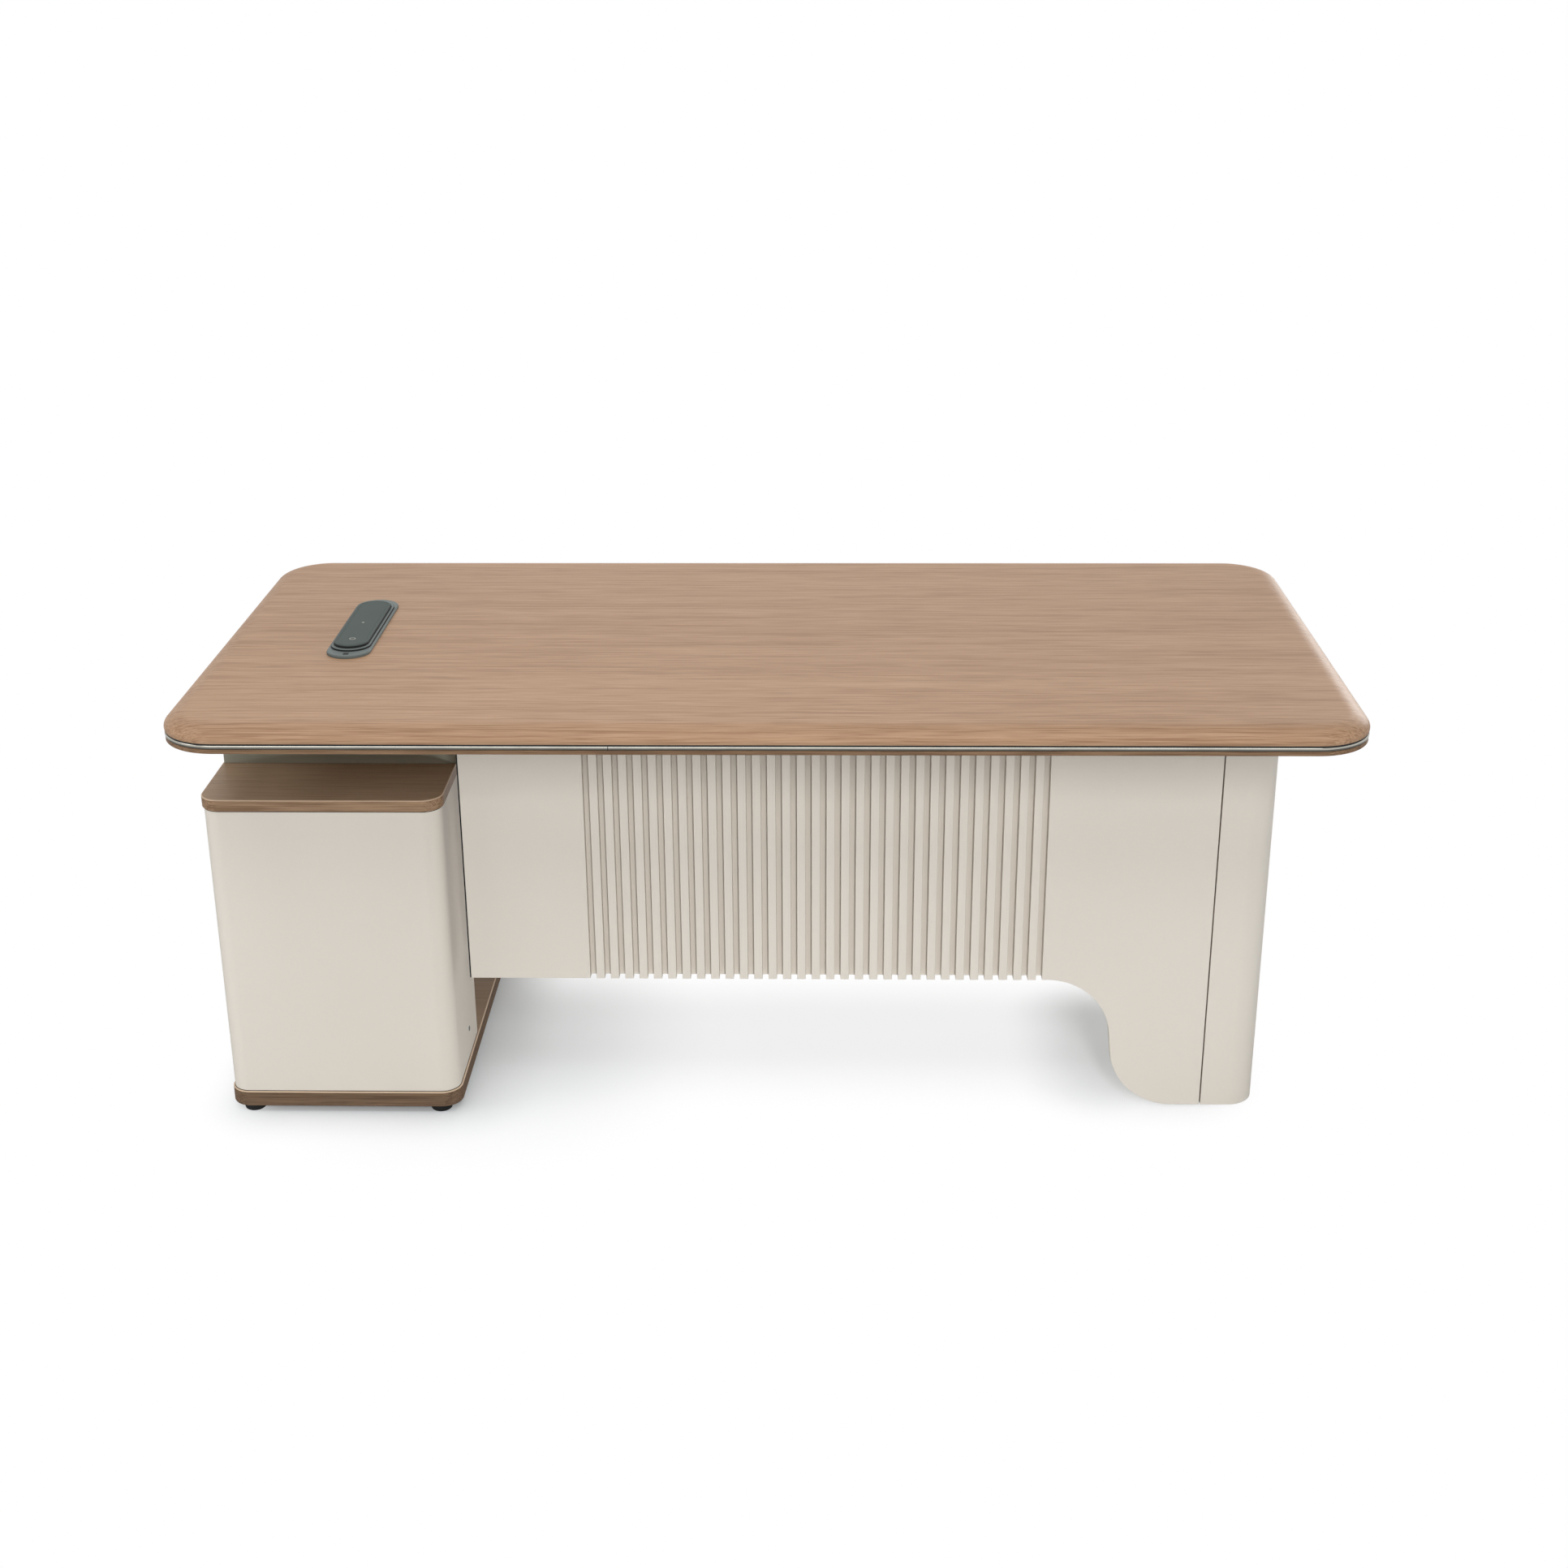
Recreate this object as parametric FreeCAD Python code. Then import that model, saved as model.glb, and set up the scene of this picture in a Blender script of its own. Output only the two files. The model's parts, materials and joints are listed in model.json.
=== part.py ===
# Executive desk: a rolled-edge desktop carried by a drawer pedestal on one side and a curved
# box leg on the other, with a fluted modesty box between them and a lift-up power unit.
# Millimetres, +Z up, floor at zero, visitors' side towards -Y, origin under the desktop's middle.
import FreeCAD, Part
import math
import os

from FreeCAD import Vector

# Shared clearances
overrun = 5.0
seat_gap = 0.3

# Desktop: outline, rolled top edge, inlaid trim strip and under board
top_length = 1800.0
top_depth = 900.0
top_height = 750.0
top_corner = 90.0
roll_width = 36.0
roll_drop = 20.0
upper_edge = 6.5
trim_height = 7.0
lower_edge = 6.5
lower_inset = 1.0
trim_depth = 14.0
trim_recess = 2.4
trim_bulge = 2.2
trim_joint_gap = 1.0
trim_joint_share = 0.374

# Steel rail and angle brackets under the desktop
rail_width = 40.0
rail_drop = 20.0
rail_from_rear = 250.0
bracket_leg = 40.0
bracket_width = 30.0
bracket_steel = 3.0
bracket_shares = (0.10, 0.30, 0.50, 0.70, 0.90)

# Lift-up power unit
power_from_left = 223.5
power_behind_riser = 1.5
flange_length = 309.0
flange_width = 71.0
flange_height = 5.0
flange_bevel = 2.0
ring_length = 262.0
ring_width = 63.0
ring_height = 3.0
ring_bevel = 1.0
tower_length = 222.0
tower_width = 48.0
tower_gap = 0.6
housing_wall = 3.5
housing_depth = 150.0
cutout_gap = 0.4
pad_length = 247.0
pad_width = 55.0
pad_height = 4.0
pad_bevel = 1.2
socket_size = 44.0
socket_plate = 3.0
socket_pitch = 60.0
socket_drop = 40.0
gland_radius = 8.0
gland_length = 16.0
gland_nut_radius = 11.0
gland_nut = 6.0

# Modesty box: facing, carrier, spine and cable trunk
panel_setback = 218.0
panel_bottom = 234.0
facing = 16.0
carrier = 12.0
spine_setback = 342.0
spine = 16.0
shadow_gap = 27.5
left_flat = 196.0
trunk_inset = 150.0
slat_width = 13.6
groove_target = 9.7
slat_round = 1.3
trunk_floor = 12.0
rib_head = 74.0
rib_shares = (0.25, 0.50, 0.75)

# Curved leg
leg_overhang = 92.0
leg_width = 136.0
leg_front = 90.0
leg_rear_setback = 120.0
leg_round = 45.0
leg_board = 18.0
seam_gap = 2.0
toe_width = 48.0
upper_curve = 105.0
lower_curve = 107.0
curve_slope_degrees = 6.0
curve_lead = 9.0
batten_width = 50.0
batten_depth = 20.0
glide_height = 3.0
glide_radius = 12.0
glide_inset = 40.0

# Pedestal: boards, niche and feet
cabinet_setback = 182.0
cabinet_left_inset = 2.5
cabinet_width = 385.0
riser_height = 147.5
cabinet_rear_inset = 25.0
cap_board = 20.0
base_board = 27.5
cap_overhang = 3.0
cap_rear_round = 6.0
cap_bevel = 1.2
foot_height = 12.0
foot_top_radius = 20.0
foot_bottom_radius = 17.0
foot_inset_x = 36.0
foot_inset_y = 22.0
shell_board = 18.0
shell_round = 30.0
shell_return = 207.0
divider_board = 18.0
niche_height = 157.5
deck_board = 18.0
post_size = 36.0
riser_board = 16.0
support_radius = 19.0
support_flange_radius = 34.0
support_flange = 4.0
support_inset = 48.0

# Drawers: fronts, steel trays, edge pulls and three-part runners
drawer_count = 3
front_board = 18.0
front_gap = 3.0
front_ease = 1.0
front_seat = 0.5
front_rear_margin = 2.5
deck_cover = 17.0
tray_wall = 1.6
tray_lift = 24.0
tray_head = 16.0
tray_end_gap = 30.0
pull_length = 120.0
pull_reach = 16.0
pull_lip = 12.0
pull_plate = 1.5
runner_height = 35.0
runner_depth = 12.7
runner_steel = 1.2
runner_web_gap = 0.8
runner_ball = 3.3
runner_setback = 30.0
runner_front_gap = 32.0

# Places that follow from the sizes
half_length = top_length / 2
half_depth = top_depth / 2
z_roll = top_height - roll_drop
z_upper = z_roll - upper_edge
z_trim = z_upper - trim_height
z_under = z_trim - lower_edge
cabinet_height = z_under - riser_height

cap_x0 = -half_length + cabinet_left_inset
cap_x1 = cap_x0 + cabinet_width
cap_y0 = -half_depth + cabinet_setback
cap_y1 = half_depth - cabinet_rear_inset
cap_z0 = cabinet_height - cap_board
base_z1 = foot_height + base_board
shell_x0 = cap_x0 + cap_overhang
shell_x1 = cap_x1 - cap_overhang
shell_y0 = cap_y0 + cap_overhang
shell_y1 = shell_y0 + shell_return
front_y1 = cap_y1 - front_rear_margin
front_y0 = front_y1 - front_board
carcass_y1 = front_y0 - front_seat
deck_z0 = base_z1 + niche_height
deck_z1 = deck_z0 + deck_board
bay_x0 = shell_x0 + shell_board
bay_x1 = shell_x1 - shell_board

panel_y0 = -half_depth + panel_setback
panel_y1 = panel_y0 + facing
carrier_y1 = panel_y1 + carrier
spine_y0 = -half_depth + spine_setback
spine_y1 = spine_y0 + spine

leg_x1 = half_length - leg_overhang
leg_x0 = leg_x1 - leg_width
seam_x = leg_x1 - leg_front
leg_y1 = half_depth - leg_rear_setback
curve_slope = math.radians(curve_slope_degrees)
curve_share = 1 - math.sin(curve_slope)
curve_drop = panel_bottom - glide_height
curve_straight = (curve_drop - (upper_curve + lower_curve) * curve_share) / math.cos(curve_slope)
curve_run = (upper_curve + lower_curve) * math.cos(curve_slope) + curve_straight * math.sin(curve_slope)
curve_x1 = seam_x - toe_width
curve_x0 = curve_x1 - curve_run

panel_x0 = shell_x1 + shadow_gap
trunk_x0 = panel_x0 + trunk_inset
flute_x0 = panel_x0 + left_flat
flute_x1 = curve_x0 - curve_lead
flute_width = flute_x1 - flute_x0
slat_count = int((flute_width - groove_target) / (slat_width + groove_target))
groove_width = (flute_width - slat_count * slat_width) / (slat_count + 1)

power_x = -half_length + power_from_left
bore_length = tower_length + 2 * tower_gap
bore_width = tower_width + 2 * tower_gap
housing_length = bore_length + 2 * housing_wall
housing_width = bore_width + 2 * housing_wall
power_y = spine_y0 + riser_board + power_behind_riser + housing_length / 2
housing_z0 = top_height - housing_depth
ring_z1 = top_height + flange_height + ring_height
tower_z0 = housing_z0 + housing_wall + seat_gap
tower_z1 = ring_z1 + seat_gap


def box(x0, x1, y0, y1, z0, z1):
    return Part.makeBox(x1 - x0, y1 - y0, z1 - z0, Vector(x0, y0, z0))


def fuse(solids):
    return solids[0].multiFuse(solids[1:]).removeSplitter()


def upright_edges(shape, wanted):
    """Vertical straight edges whose middle passes the wanted test."""
    found = []
    for edge in shape.Edges:
        straight = edge.Curve.TypeId == "Part::GeomLine"
        if straight and abs(edge.tangentAt(edge.FirstParameter).z) > 0.99 and wanted(edge.CenterOfMass):
            found.append(edge)
    return found


def round_uprights(shape, radius, wanted=lambda middle: True):
    return shape.makeFillet(radius, upright_edges(shape, wanted))


def level_rim(shape, z):
    """Edges of a solid that lie wholly at one height."""
    slack = seat_gap / 10
    return [edge for edge in shape.Edges if abs(edge.BoundBox.ZMin - z) + abs(edge.BoundBox.ZMax - z) < slack]


def capsule(length, width, z0, z1):
    """Upright prism with half-round ends, long axis along Y, centred on the power unit."""
    radius = width / 2
    reach = length / 2 - radius
    x0 = power_x - radius
    x1 = power_x + radius
    near = power_y - reach
    far = power_y + reach
    edges = [
        Part.Arc(Vector(x0, near, z0), Vector(power_x, near - radius, z0), Vector(x1, near, z0)).toShape(),
        Part.LineSegment(Vector(x1, near, z0), Vector(x1, far, z0)).toShape(),
        Part.Arc(Vector(x1, far, z0), Vector(power_x, far + radius, z0), Vector(x0, far, z0)).toShape(),
        Part.LineSegment(Vector(x0, far, z0), Vector(x0, near, z0)).toShape(),
    ]
    return Part.Face(Part.Wire(edges)).extrude(Vector(0, 0, z1 - z0))


def chain(points):
    """Straight edges through (x, z) points in the plane y = 0."""
    corners = [Vector(x, 0, z) for x, z in points]
    return [Part.LineSegment(a, b).toShape() for a, b in zip(corners, corners[1:])]


def around_top(section):
    """Sweep a section round the desktop's outline; its x runs outwards from the corner's axis."""
    reach_x = half_length - top_corner
    reach_y = half_depth - top_corner
    sides = ((reach_x, -reach_y, reach_y), (reach_x, reach_y, reach_x),
             (-reach_x, reach_y, reach_y), (-reach_x, -reach_y, reach_x))
    pieces = []
    for turn, (x, y, reach) in enumerate(sides):
        side = section.extrude(Vector(0, 2 * reach, 0))
        end = section.revolve(Vector(), Vector(0, 0, 1), 90)
        end.translate(Vector(0, 2 * reach, 0))
        for piece in (side, end):
            piece.rotate(Vector(), Vector(0, 0, 1), 90 * turn)
            piece.translate(Vector(x, y, 0))
            pieces.append(piece)
    return pieces


def full_board(section, z0, z1):
    reach_x = half_length - top_corner
    reach_y = half_depth - top_corner
    core = box(-reach_x, reach_x, -reach_y, reach_y, z0, z1)
    return fuse([core] + around_top(section))


def power_cutout():
    length = housing_length + 2 * cutout_gap
    width = housing_width + 2 * cutout_gap
    return capsule(length, width, z_under - overrun, top_height + overrun)


def desktop_upper():
    roll_start = top_corner - roll_width
    roll = Part.Ellipse(Vector(top_corner, 0, z_roll), Vector(roll_start, 0, top_height),
                        Vector(roll_start, 0, z_roll))
    outline = chain([(roll_start, top_height), (0, top_height), (0, z_upper),
                     (top_corner, z_upper), (top_corner, z_roll)])
    outline.append(Part.ArcOfEllipse(roll, 0, math.pi / 2).toShape())
    section = Part.Face(Part.Wire(Part.__sortEdges__(outline)))
    return full_board(section, z_upper, top_height).cut(power_cutout())


def desktop_lower():
    edge = top_corner - lower_inset
    rebate = top_corner - trim_depth
    outline = chain([(0, z_under), (edge, z_under), (edge, z_trim), (rebate, z_trim),
                     (rebate, z_upper), (0, z_upper), (0, z_under)])
    section = Part.Face(Part.Wire(outline))
    return full_board(section, z_under, z_upper).cut(power_cutout())


def edge_trim():
    """Strip with a slightly round face, bedded in the rebate, with one butt joint in front."""
    inner = top_corner - trim_depth + seat_gap
    outer = top_corner - trim_recess
    middle = Vector(outer + trim_bulge, 0, (z_trim + z_upper) / 2)
    outline = chain([(outer, z_upper), (inner, z_upper), (inner, z_trim), (outer, z_trim)])
    outline.append(Part.Arc(Vector(outer, 0, z_trim), middle, Vector(outer, 0, z_upper)).toShape())
    section = Part.Face(Part.Wire(outline))
    joint_x = -half_length + top_length * trim_joint_share
    joint = box(joint_x, joint_x + trim_joint_gap, -half_depth - overrun,
                -half_depth + trim_depth + overrun, z_trim - overrun, z_upper + overrun)
    return fuse(around_top(section)).cut(joint)


def stiffener_rail():
    y1 = half_depth - rail_from_rear
    outer = box(cap_x1, leg_x0, y1 - rail_width, y1, z_under - rail_drop, z_under)
    hollow = box(cap_x1 - overrun, leg_x0 + overrun, y1 - rail_width + bracket_steel, y1 - bracket_steel,
                 z_under - rail_drop + bracket_steel, z_under - bracket_steel)
    return outer.cut(hollow)


def angle_brackets():
    brackets = []
    for share in bracket_shares:
        x0 = trunk_x0 + (leg_x0 - trunk_x0) * share - bracket_width / 2
        x1 = x0 + bracket_width
        flat = box(x0, x1, spine_y1, spine_y1 + bracket_leg, z_under - bracket_steel, z_under)
        upright = box(x0, x1, spine_y1, spine_y1 + bracket_steel, z_under - bracket_leg, z_under)
        brackets.append(fuse([flat, upright]))
    return Part.makeCompound(brackets)


def power_bezel():
    """Two-step surround that lies on the desktop and guides the tower."""
    flange_z1 = top_height + flange_height
    flange = capsule(flange_length, flange_width, top_height, flange_z1)
    flange = flange.makeChamfer(flange_bevel, level_rim(flange, flange_z1))
    ring = capsule(ring_length, ring_width, top_height, ring_z1)
    ring = ring.makeChamfer(ring_bevel, level_rim(ring, ring_z1))
    bore = capsule(bore_length, bore_width, top_height - overrun, ring_z1 + overrun)
    return fuse([flange, ring]).cut(bore)


def power_housing():
    can = capsule(housing_length, housing_width, housing_z0, top_height)
    bore = capsule(bore_length, bore_width, housing_z0 + housing_wall, top_height + overrun)
    return can.cut(bore)


def power_inlet():
    """Cable gland under the housing: a six-sided nut against the floor and a round neck."""
    turns = [step * math.pi / 3 for step in range(7)]
    rim = [Vector(power_x + gland_nut_radius * math.cos(turn), power_y + gland_nut_radius * math.sin(turn),
                  housing_z0 - gland_nut) for turn in turns]
    nut = Part.Face(Part.makePolygon(rim)).extrude(Vector(0, 0, gland_nut))
    neck = Part.makeCylinder(gland_radius, gland_length, Vector(power_x, power_y, housing_z0 - gland_length))
    return fuse([nut, neck])


def socket_block(index, face_x):
    y0 = power_y + (index - 1) * socket_pitch - socket_size / 2
    z0 = tower_z1 - socket_drop - socket_size / 2
    return box(face_x - socket_plate, face_x, y0, y0 + socket_size, z0, z0 + socket_size)


def power_sockets():
    face_x = power_x + tower_width / 2
    return Part.makeCompound([socket_block(index, face_x) for index in range(3)])


def power_tower():
    return capsule(tower_length, tower_width, tower_z0, tower_z1).cut(power_sockets())


def power_pad():
    """Charging plate on the tower that also covers the gap round it when the tower is down."""
    pad_z1 = tower_z1 + pad_height
    pad = capsule(pad_length, pad_width, tower_z1, pad_z1)
    return pad.makeChamfer(pad_bevel, level_rim(pad, pad_z1))


def panel_left():
    return box(panel_x0, flute_x0, panel_y0, panel_y1, panel_bottom, z_under)


def fluted_slats():
    """Upright slats with eased front edges, evenly spaced between the two flat boards."""
    slats = []
    for index in range(slat_count):
        x0 = flute_x0 + groove_width + index * (slat_width + groove_width)
        slat = box(x0, x0 + slat_width, panel_y0, panel_y1, panel_bottom, z_under)
        slats.append(round_uprights(slat, slat_round, lambda middle: middle.y < panel_y0 + slat_round))
    return Part.makeCompound(slats)


def panel_carrier():
    return box(panel_x0, leg_x0, panel_y1, carrier_y1, panel_bottom, z_under)


def trunk_end():
    return box(trunk_x0, trunk_x0 + facing, carrier_y1, spine_y0, panel_bottom, z_under)


def trunk_bottom():
    return box(trunk_x0 + facing, leg_x0, carrier_y1, spine_y0, panel_bottom, panel_bottom + trunk_floor)


def trunk_ribs():
    z0 = panel_bottom + trunk_floor
    z1 = z_under - rib_head
    ribs = []
    for share in rib_shares:
        x0 = trunk_x0 + (leg_x0 - trunk_x0) * share - facing / 2
        ribs.append(box(x0, x0 + facing, carrier_y1, spine_y0, z0, z1))
    return Part.makeCompound(ribs)


def spine_board():
    return box(trunk_x0, leg_x0, spine_y0, spine_y1, panel_bottom, z_under)


def leg_front_panel():
    """Flat board whose lower edge sweeps down to the toe in two tangent arcs."""
    upper_axis = Vector(curve_x0, panel_y0, panel_bottom - upper_curve)
    lower_axis = Vector(curve_x1, panel_y0, glide_height + lower_curve)

    def on_arc(axis, radius, angle):
        return axis + Vector(radius * math.cos(angle), 0, radius * math.sin(angle))

    half_turn = (math.pi / 2 + curve_slope) / 2
    upper_end = on_arc(upper_axis, upper_curve, curve_slope)
    lower_start = on_arc(lower_axis, lower_curve, math.pi + curve_slope)
    corner = [Vector(seam_x - seam_gap, panel_y0, glide_height), Vector(seam_x - seam_gap, panel_y0, z_under),
              Vector(flute_x1, panel_y0, z_under), Vector(flute_x1, panel_y0, panel_bottom)]
    shoulder = Vector(curve_x0, panel_y0, panel_bottom)
    toe = Vector(curve_x1, panel_y0, glide_height)
    edges = [
        Part.LineSegment(corner[0], corner[1]).toShape(),
        Part.LineSegment(corner[1], corner[2]).toShape(),
        Part.LineSegment(corner[2], corner[3]).toShape(),
        Part.LineSegment(corner[3], shoulder).toShape(),
        Part.Arc(shoulder, on_arc(upper_axis, upper_curve, half_turn), upper_end).toShape(),
        Part.LineSegment(upper_end, lower_start).toShape(),
        Part.Arc(lower_start, on_arc(lower_axis, lower_curve, math.pi + half_turn), toe).toShape(),
        Part.LineSegment(toe, corner[0]).toShape(),
    ]
    return Part.Face(Part.Wire(edges)).extrude(Vector(0, facing, 0))


def leg_shell():
    """Wrap of front corner, outer side and rear corner, open towards the inner board."""
    outer = box(leg_x0, leg_x1, panel_y0, leg_y1, glide_height, z_under)
    outer = round_uprights(outer, leg_round, lambda middle: middle.x > seam_x)
    inner = box(leg_x0 - overrun, leg_x1 - facing, panel_y1, leg_y1 - facing,
                glide_height - overrun, z_under + overrun)
    inner = round_uprights(inner, leg_round - facing, lambda middle: middle.x > seam_x)
    notch = box(leg_x0 - overrun, seam_x, panel_y0 - overrun, panel_y1 + overrun,
                glide_height - overrun, z_under + overrun)
    return outer.cut(inner).cut(notch)


def leg_inner_board():
    return box(leg_x0, leg_x0 + leg_board, panel_y1, leg_y1 - facing, glide_height, z_under)


def leg_cross_board(z0):
    board = box(leg_x0 + leg_board, leg_x1 - facing - seat_gap, panel_y1, leg_y1 - facing,
                z0, z0 + leg_board)
    return round_uprights(board, leg_round - facing, lambda middle: middle.x > seam_x)


def leg_base():
    return leg_cross_board(glide_height)


def leg_head():
    return leg_cross_board(z_under - leg_board)


def leg_batten():
    """Upright strip behind the seam that joins the flat board to the wrap."""
    x0 = seam_x - batten_width / 2
    return box(x0, x0 + batten_width, panel_y1, panel_y1 + batten_depth,
               glide_height + leg_board, z_under - leg_board)


def leg_glides():
    middle_x = (leg_x0 + leg_board + leg_x1 - facing) / 2
    places = [(middle_x, panel_y1 + glide_inset), (middle_x, leg_y1 - facing - glide_inset)]
    return Part.makeCompound([Part.makeCylinder(glide_radius, glide_height, Vector(x, y, 0)) for x, y in places])


def cap_plate(z0, z1):
    plate = box(cap_x0, cap_x1, cap_y0, cap_y1, z0, z1)
    plate = round_uprights(plate, shell_round + cap_overhang, lambda middle: middle.y < shell_y0)
    plate = round_uprights(plate, cap_rear_round, lambda middle: middle.y > front_y1)
    return plate.makeChamfer(cap_bevel, level_rim(plate, z0) + level_rim(plate, z1))


def cabinet_top():
    return cap_plate(cap_z0, cabinet_height)


def cabinet_base():
    return cap_plate(foot_height, base_z1)


def cabinet_feet():
    feet = []
    for x in (cap_x0 + foot_inset_x, cap_x1 - foot_inset_x):
        for y in (cap_y0 + foot_inset_y, cap_y1 - foot_inset_y):
            feet.append(Part.makeCone(foot_bottom_radius, foot_top_radius, foot_height, Vector(x, y, 0)))
    return Part.makeCompound(feet)


def cabinet_front_shell():
    """Front board bent round both corners into short returns."""
    outer = box(shell_x0, shell_x1, shell_y0, shell_y1, base_z1, cap_z0)
    outer = round_uprights(outer, shell_round, lambda middle: middle.y < shell_y0 + shell_round)
    inner = box(bay_x0, bay_x1, shell_y0 + shell_board, shell_y1 + overrun, base_z1 - overrun, cap_z0 + overrun)
    inner = round_uprights(inner, shell_round - shell_board, lambda middle: middle.y < shell_y1)
    return outer.cut(inner)


def cabinet_divider():
    return box(bay_x0, bay_x1, shell_y1 - divider_board, shell_y1, base_z1, cap_z0)


def cabinet_side_left():
    return box(shell_x0, bay_x0, shell_y1, carcass_y1, base_z1, cap_z0)


def cabinet_side_right():
    return box(bay_x1, shell_x1, shell_y1, carcass_y1, deck_z1, cap_z0)


def cabinet_deck():
    return box(bay_x0, shell_x1, shell_y1, carcass_y1, deck_z0, deck_z1)


def cabinet_post():
    return box(shell_x1 - post_size, shell_x1, carcass_y1 - post_size, carcass_y1, base_z1, deck_z0)


def riser_front():
    return box(shell_x0, cap_x1, spine_y0, spine_y0 + riser_board, cabinet_height, z_under)


def riser_left():
    return box(shell_x0, shell_x0 + riser_board, spine_y0 + riser_board, carcass_y1, cabinet_height, z_under)


def riser_support():
    """Turned tube with a flange at each end, under the desktop's inner rear corner."""
    middle_z0 = cabinet_height + support_flange
    middle_z1 = z_under - support_flange
    outline = chain([(0, cabinet_height), (support_flange_radius, cabinet_height),
                     (support_flange_radius, middle_z0), (support_radius, middle_z0),
                     (support_radius, middle_z1), (support_flange_radius, middle_z1),
                     (support_flange_radius, z_under), (0, z_under), (0, cabinet_height)])
    post = Part.Face(Part.Wire(outline)).revolve(Vector(), Vector(0, 0, 1), 360)
    post.translate(Vector(shell_x1 - support_inset, carcass_y1 - support_inset, 0))
    return post


def drawer_heights():
    """Bottom height of each drawer front, top drawer first, and the height of one front."""
    z0 = deck_z1 - deck_cover
    room = cap_z0 - front_gap - z0
    height = (room - (drawer_count - 1) * front_gap) / drawer_count
    steps = reversed(range(drawer_count))
    return [z0 + step * (height + front_gap) for step in steps], height


def drawer_front(z0, height):
    front = box(shell_x0, shell_x1, front_y0, front_y1, z0, z0 + height)
    outer_edges = [edge for edge in front.Edges if edge.BoundBox.YMin > front_y1 - front_ease]
    return front.makeFillet(front_ease, outer_edges)


def drawer_tray(z0, height):
    x0 = bay_x0 + runner_depth
    x1 = bay_x1 - runner_depth
    y0 = shell_y1 + tray_end_gap
    outer = box(x0, x1, y0, front_y0, z0, z0 + height)
    inside = box(x0 + tray_wall, x1 - tray_wall, y0 + tray_wall, front_y0 - tray_wall,
                 z0 + tray_wall, z0 + height + overrun)
    return outer.cut(inside)


def drawer_pull(z1):
    """Bent strip that lies on the front's top edge and turns down beyond its face."""
    x0 = (shell_x0 + shell_x1 - pull_length) / 2
    x1 = x0 + pull_length
    lip_y = front_y1 + pull_reach
    plate = box(x0, x1, front_y0, lip_y + pull_plate, z1, z1 + pull_plate)
    lip = box(x0, x1, lip_y, lip_y + pull_plate, z1 - pull_lip, z1 + pull_plate)
    return fuse([plate, lip])


def channel(depth0, depth1, half_height, flange, web_near):
    """C section along Y: depth runs from the carcass side to the tray, web at either edge."""
    y0 = shell_y1 + runner_setback
    y1 = carcass_y1 - runner_front_gap
    outer = box(depth0, depth1, y0, y1, -half_height, half_height)
    near = depth0 + runner_steel if web_near else depth0 - overrun
    far = depth1 + overrun if web_near else depth1 - runner_steel
    hollow = box(near, far, y0 - overrun, y1 + overrun, flange - half_height, half_height - flange)
    return outer.cut(hollow)


def runner_pair(section, z):
    left = section.copy()
    left.translate(Vector(bay_x0, 0, z))
    right = section.mirror(Vector(), Vector(1, 0, 0))
    right.translate(Vector(bay_x1, 0, z))
    return [left, right]


def runner_sections():
    """Outer, middle and inner member of one runner, nested with a running gap."""
    outer_half = runner_height / 2
    middle_half = outer_half - runner_steel - seat_gap
    inner_half = middle_half - runner_ball - seat_gap
    middle_depth = runner_steel + runner_web_gap
    inner_depth = middle_depth + runner_steel + runner_web_gap
    outer = channel(0, runner_depth - 2 * runner_steel, outer_half, runner_steel, True)
    middle = channel(middle_depth, runner_depth - runner_steel - runner_web_gap, middle_half,
                     runner_ball, True)
    inner = channel(inner_depth, runner_depth, inner_half, runner_steel, False)
    return outer, middle, inner


def drawer_nodes():
    outer, middle, inner = runner_sections()
    rails = []
    nodes = {}
    bottoms, height = drawer_heights()
    tray_height = height - tray_lift - tray_head
    for number, z0 in enumerate(bottoms, start=1):
        tray_z0 = z0 + tray_lift
        runner_z = tray_z0 + tray_height / 2
        rails += runner_pair(outer, runner_z)
        nodes[f"drawer_{number}_front"] = drawer_front(z0, height)
        nodes[f"drawer_{number}_tray"] = drawer_tray(tray_z0, tray_height)
        nodes[f"drawer_{number}_pull"] = drawer_pull(z0 + height)
        nodes[f"drawer_{number}_slide"] = Part.makeCompound(runner_pair(inner, runner_z))
        nodes[f"runner_{number}_middle"] = Part.makeCompound(runner_pair(middle, runner_z))
    nodes["runner_rails"] = Part.makeCompound(rails)
    return nodes


builders = (
    desktop_upper, desktop_lower, edge_trim, stiffener_rail, angle_brackets,
    power_bezel, power_housing, power_inlet, power_tower, power_sockets, power_pad,
    panel_left, fluted_slats, panel_carrier, trunk_end, trunk_bottom, trunk_ribs, spine_board,
    leg_front_panel, leg_shell, leg_inner_board, leg_base, leg_head, leg_batten, leg_glides,
    cabinet_top, cabinet_base, cabinet_feet, cabinet_front_shell, cabinet_divider, cabinet_side_left,
    cabinet_side_right, cabinet_deck, cabinet_post, riser_front, riser_left, riser_support,
)

os.makedirs("parts", exist_ok=True)
shapes = {builder.__name__: builder() for builder in builders}
shapes.update(drawer_nodes())
for name, shape in shapes.items():
    shape.exportStep(f"parts/{name}.step")
    print(name, len(shape.Solids), shape.isValid(), round(shape.Volume))
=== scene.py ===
import json
import math

import bmesh
import bpy
from mathutils import Matrix, Vector


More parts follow.
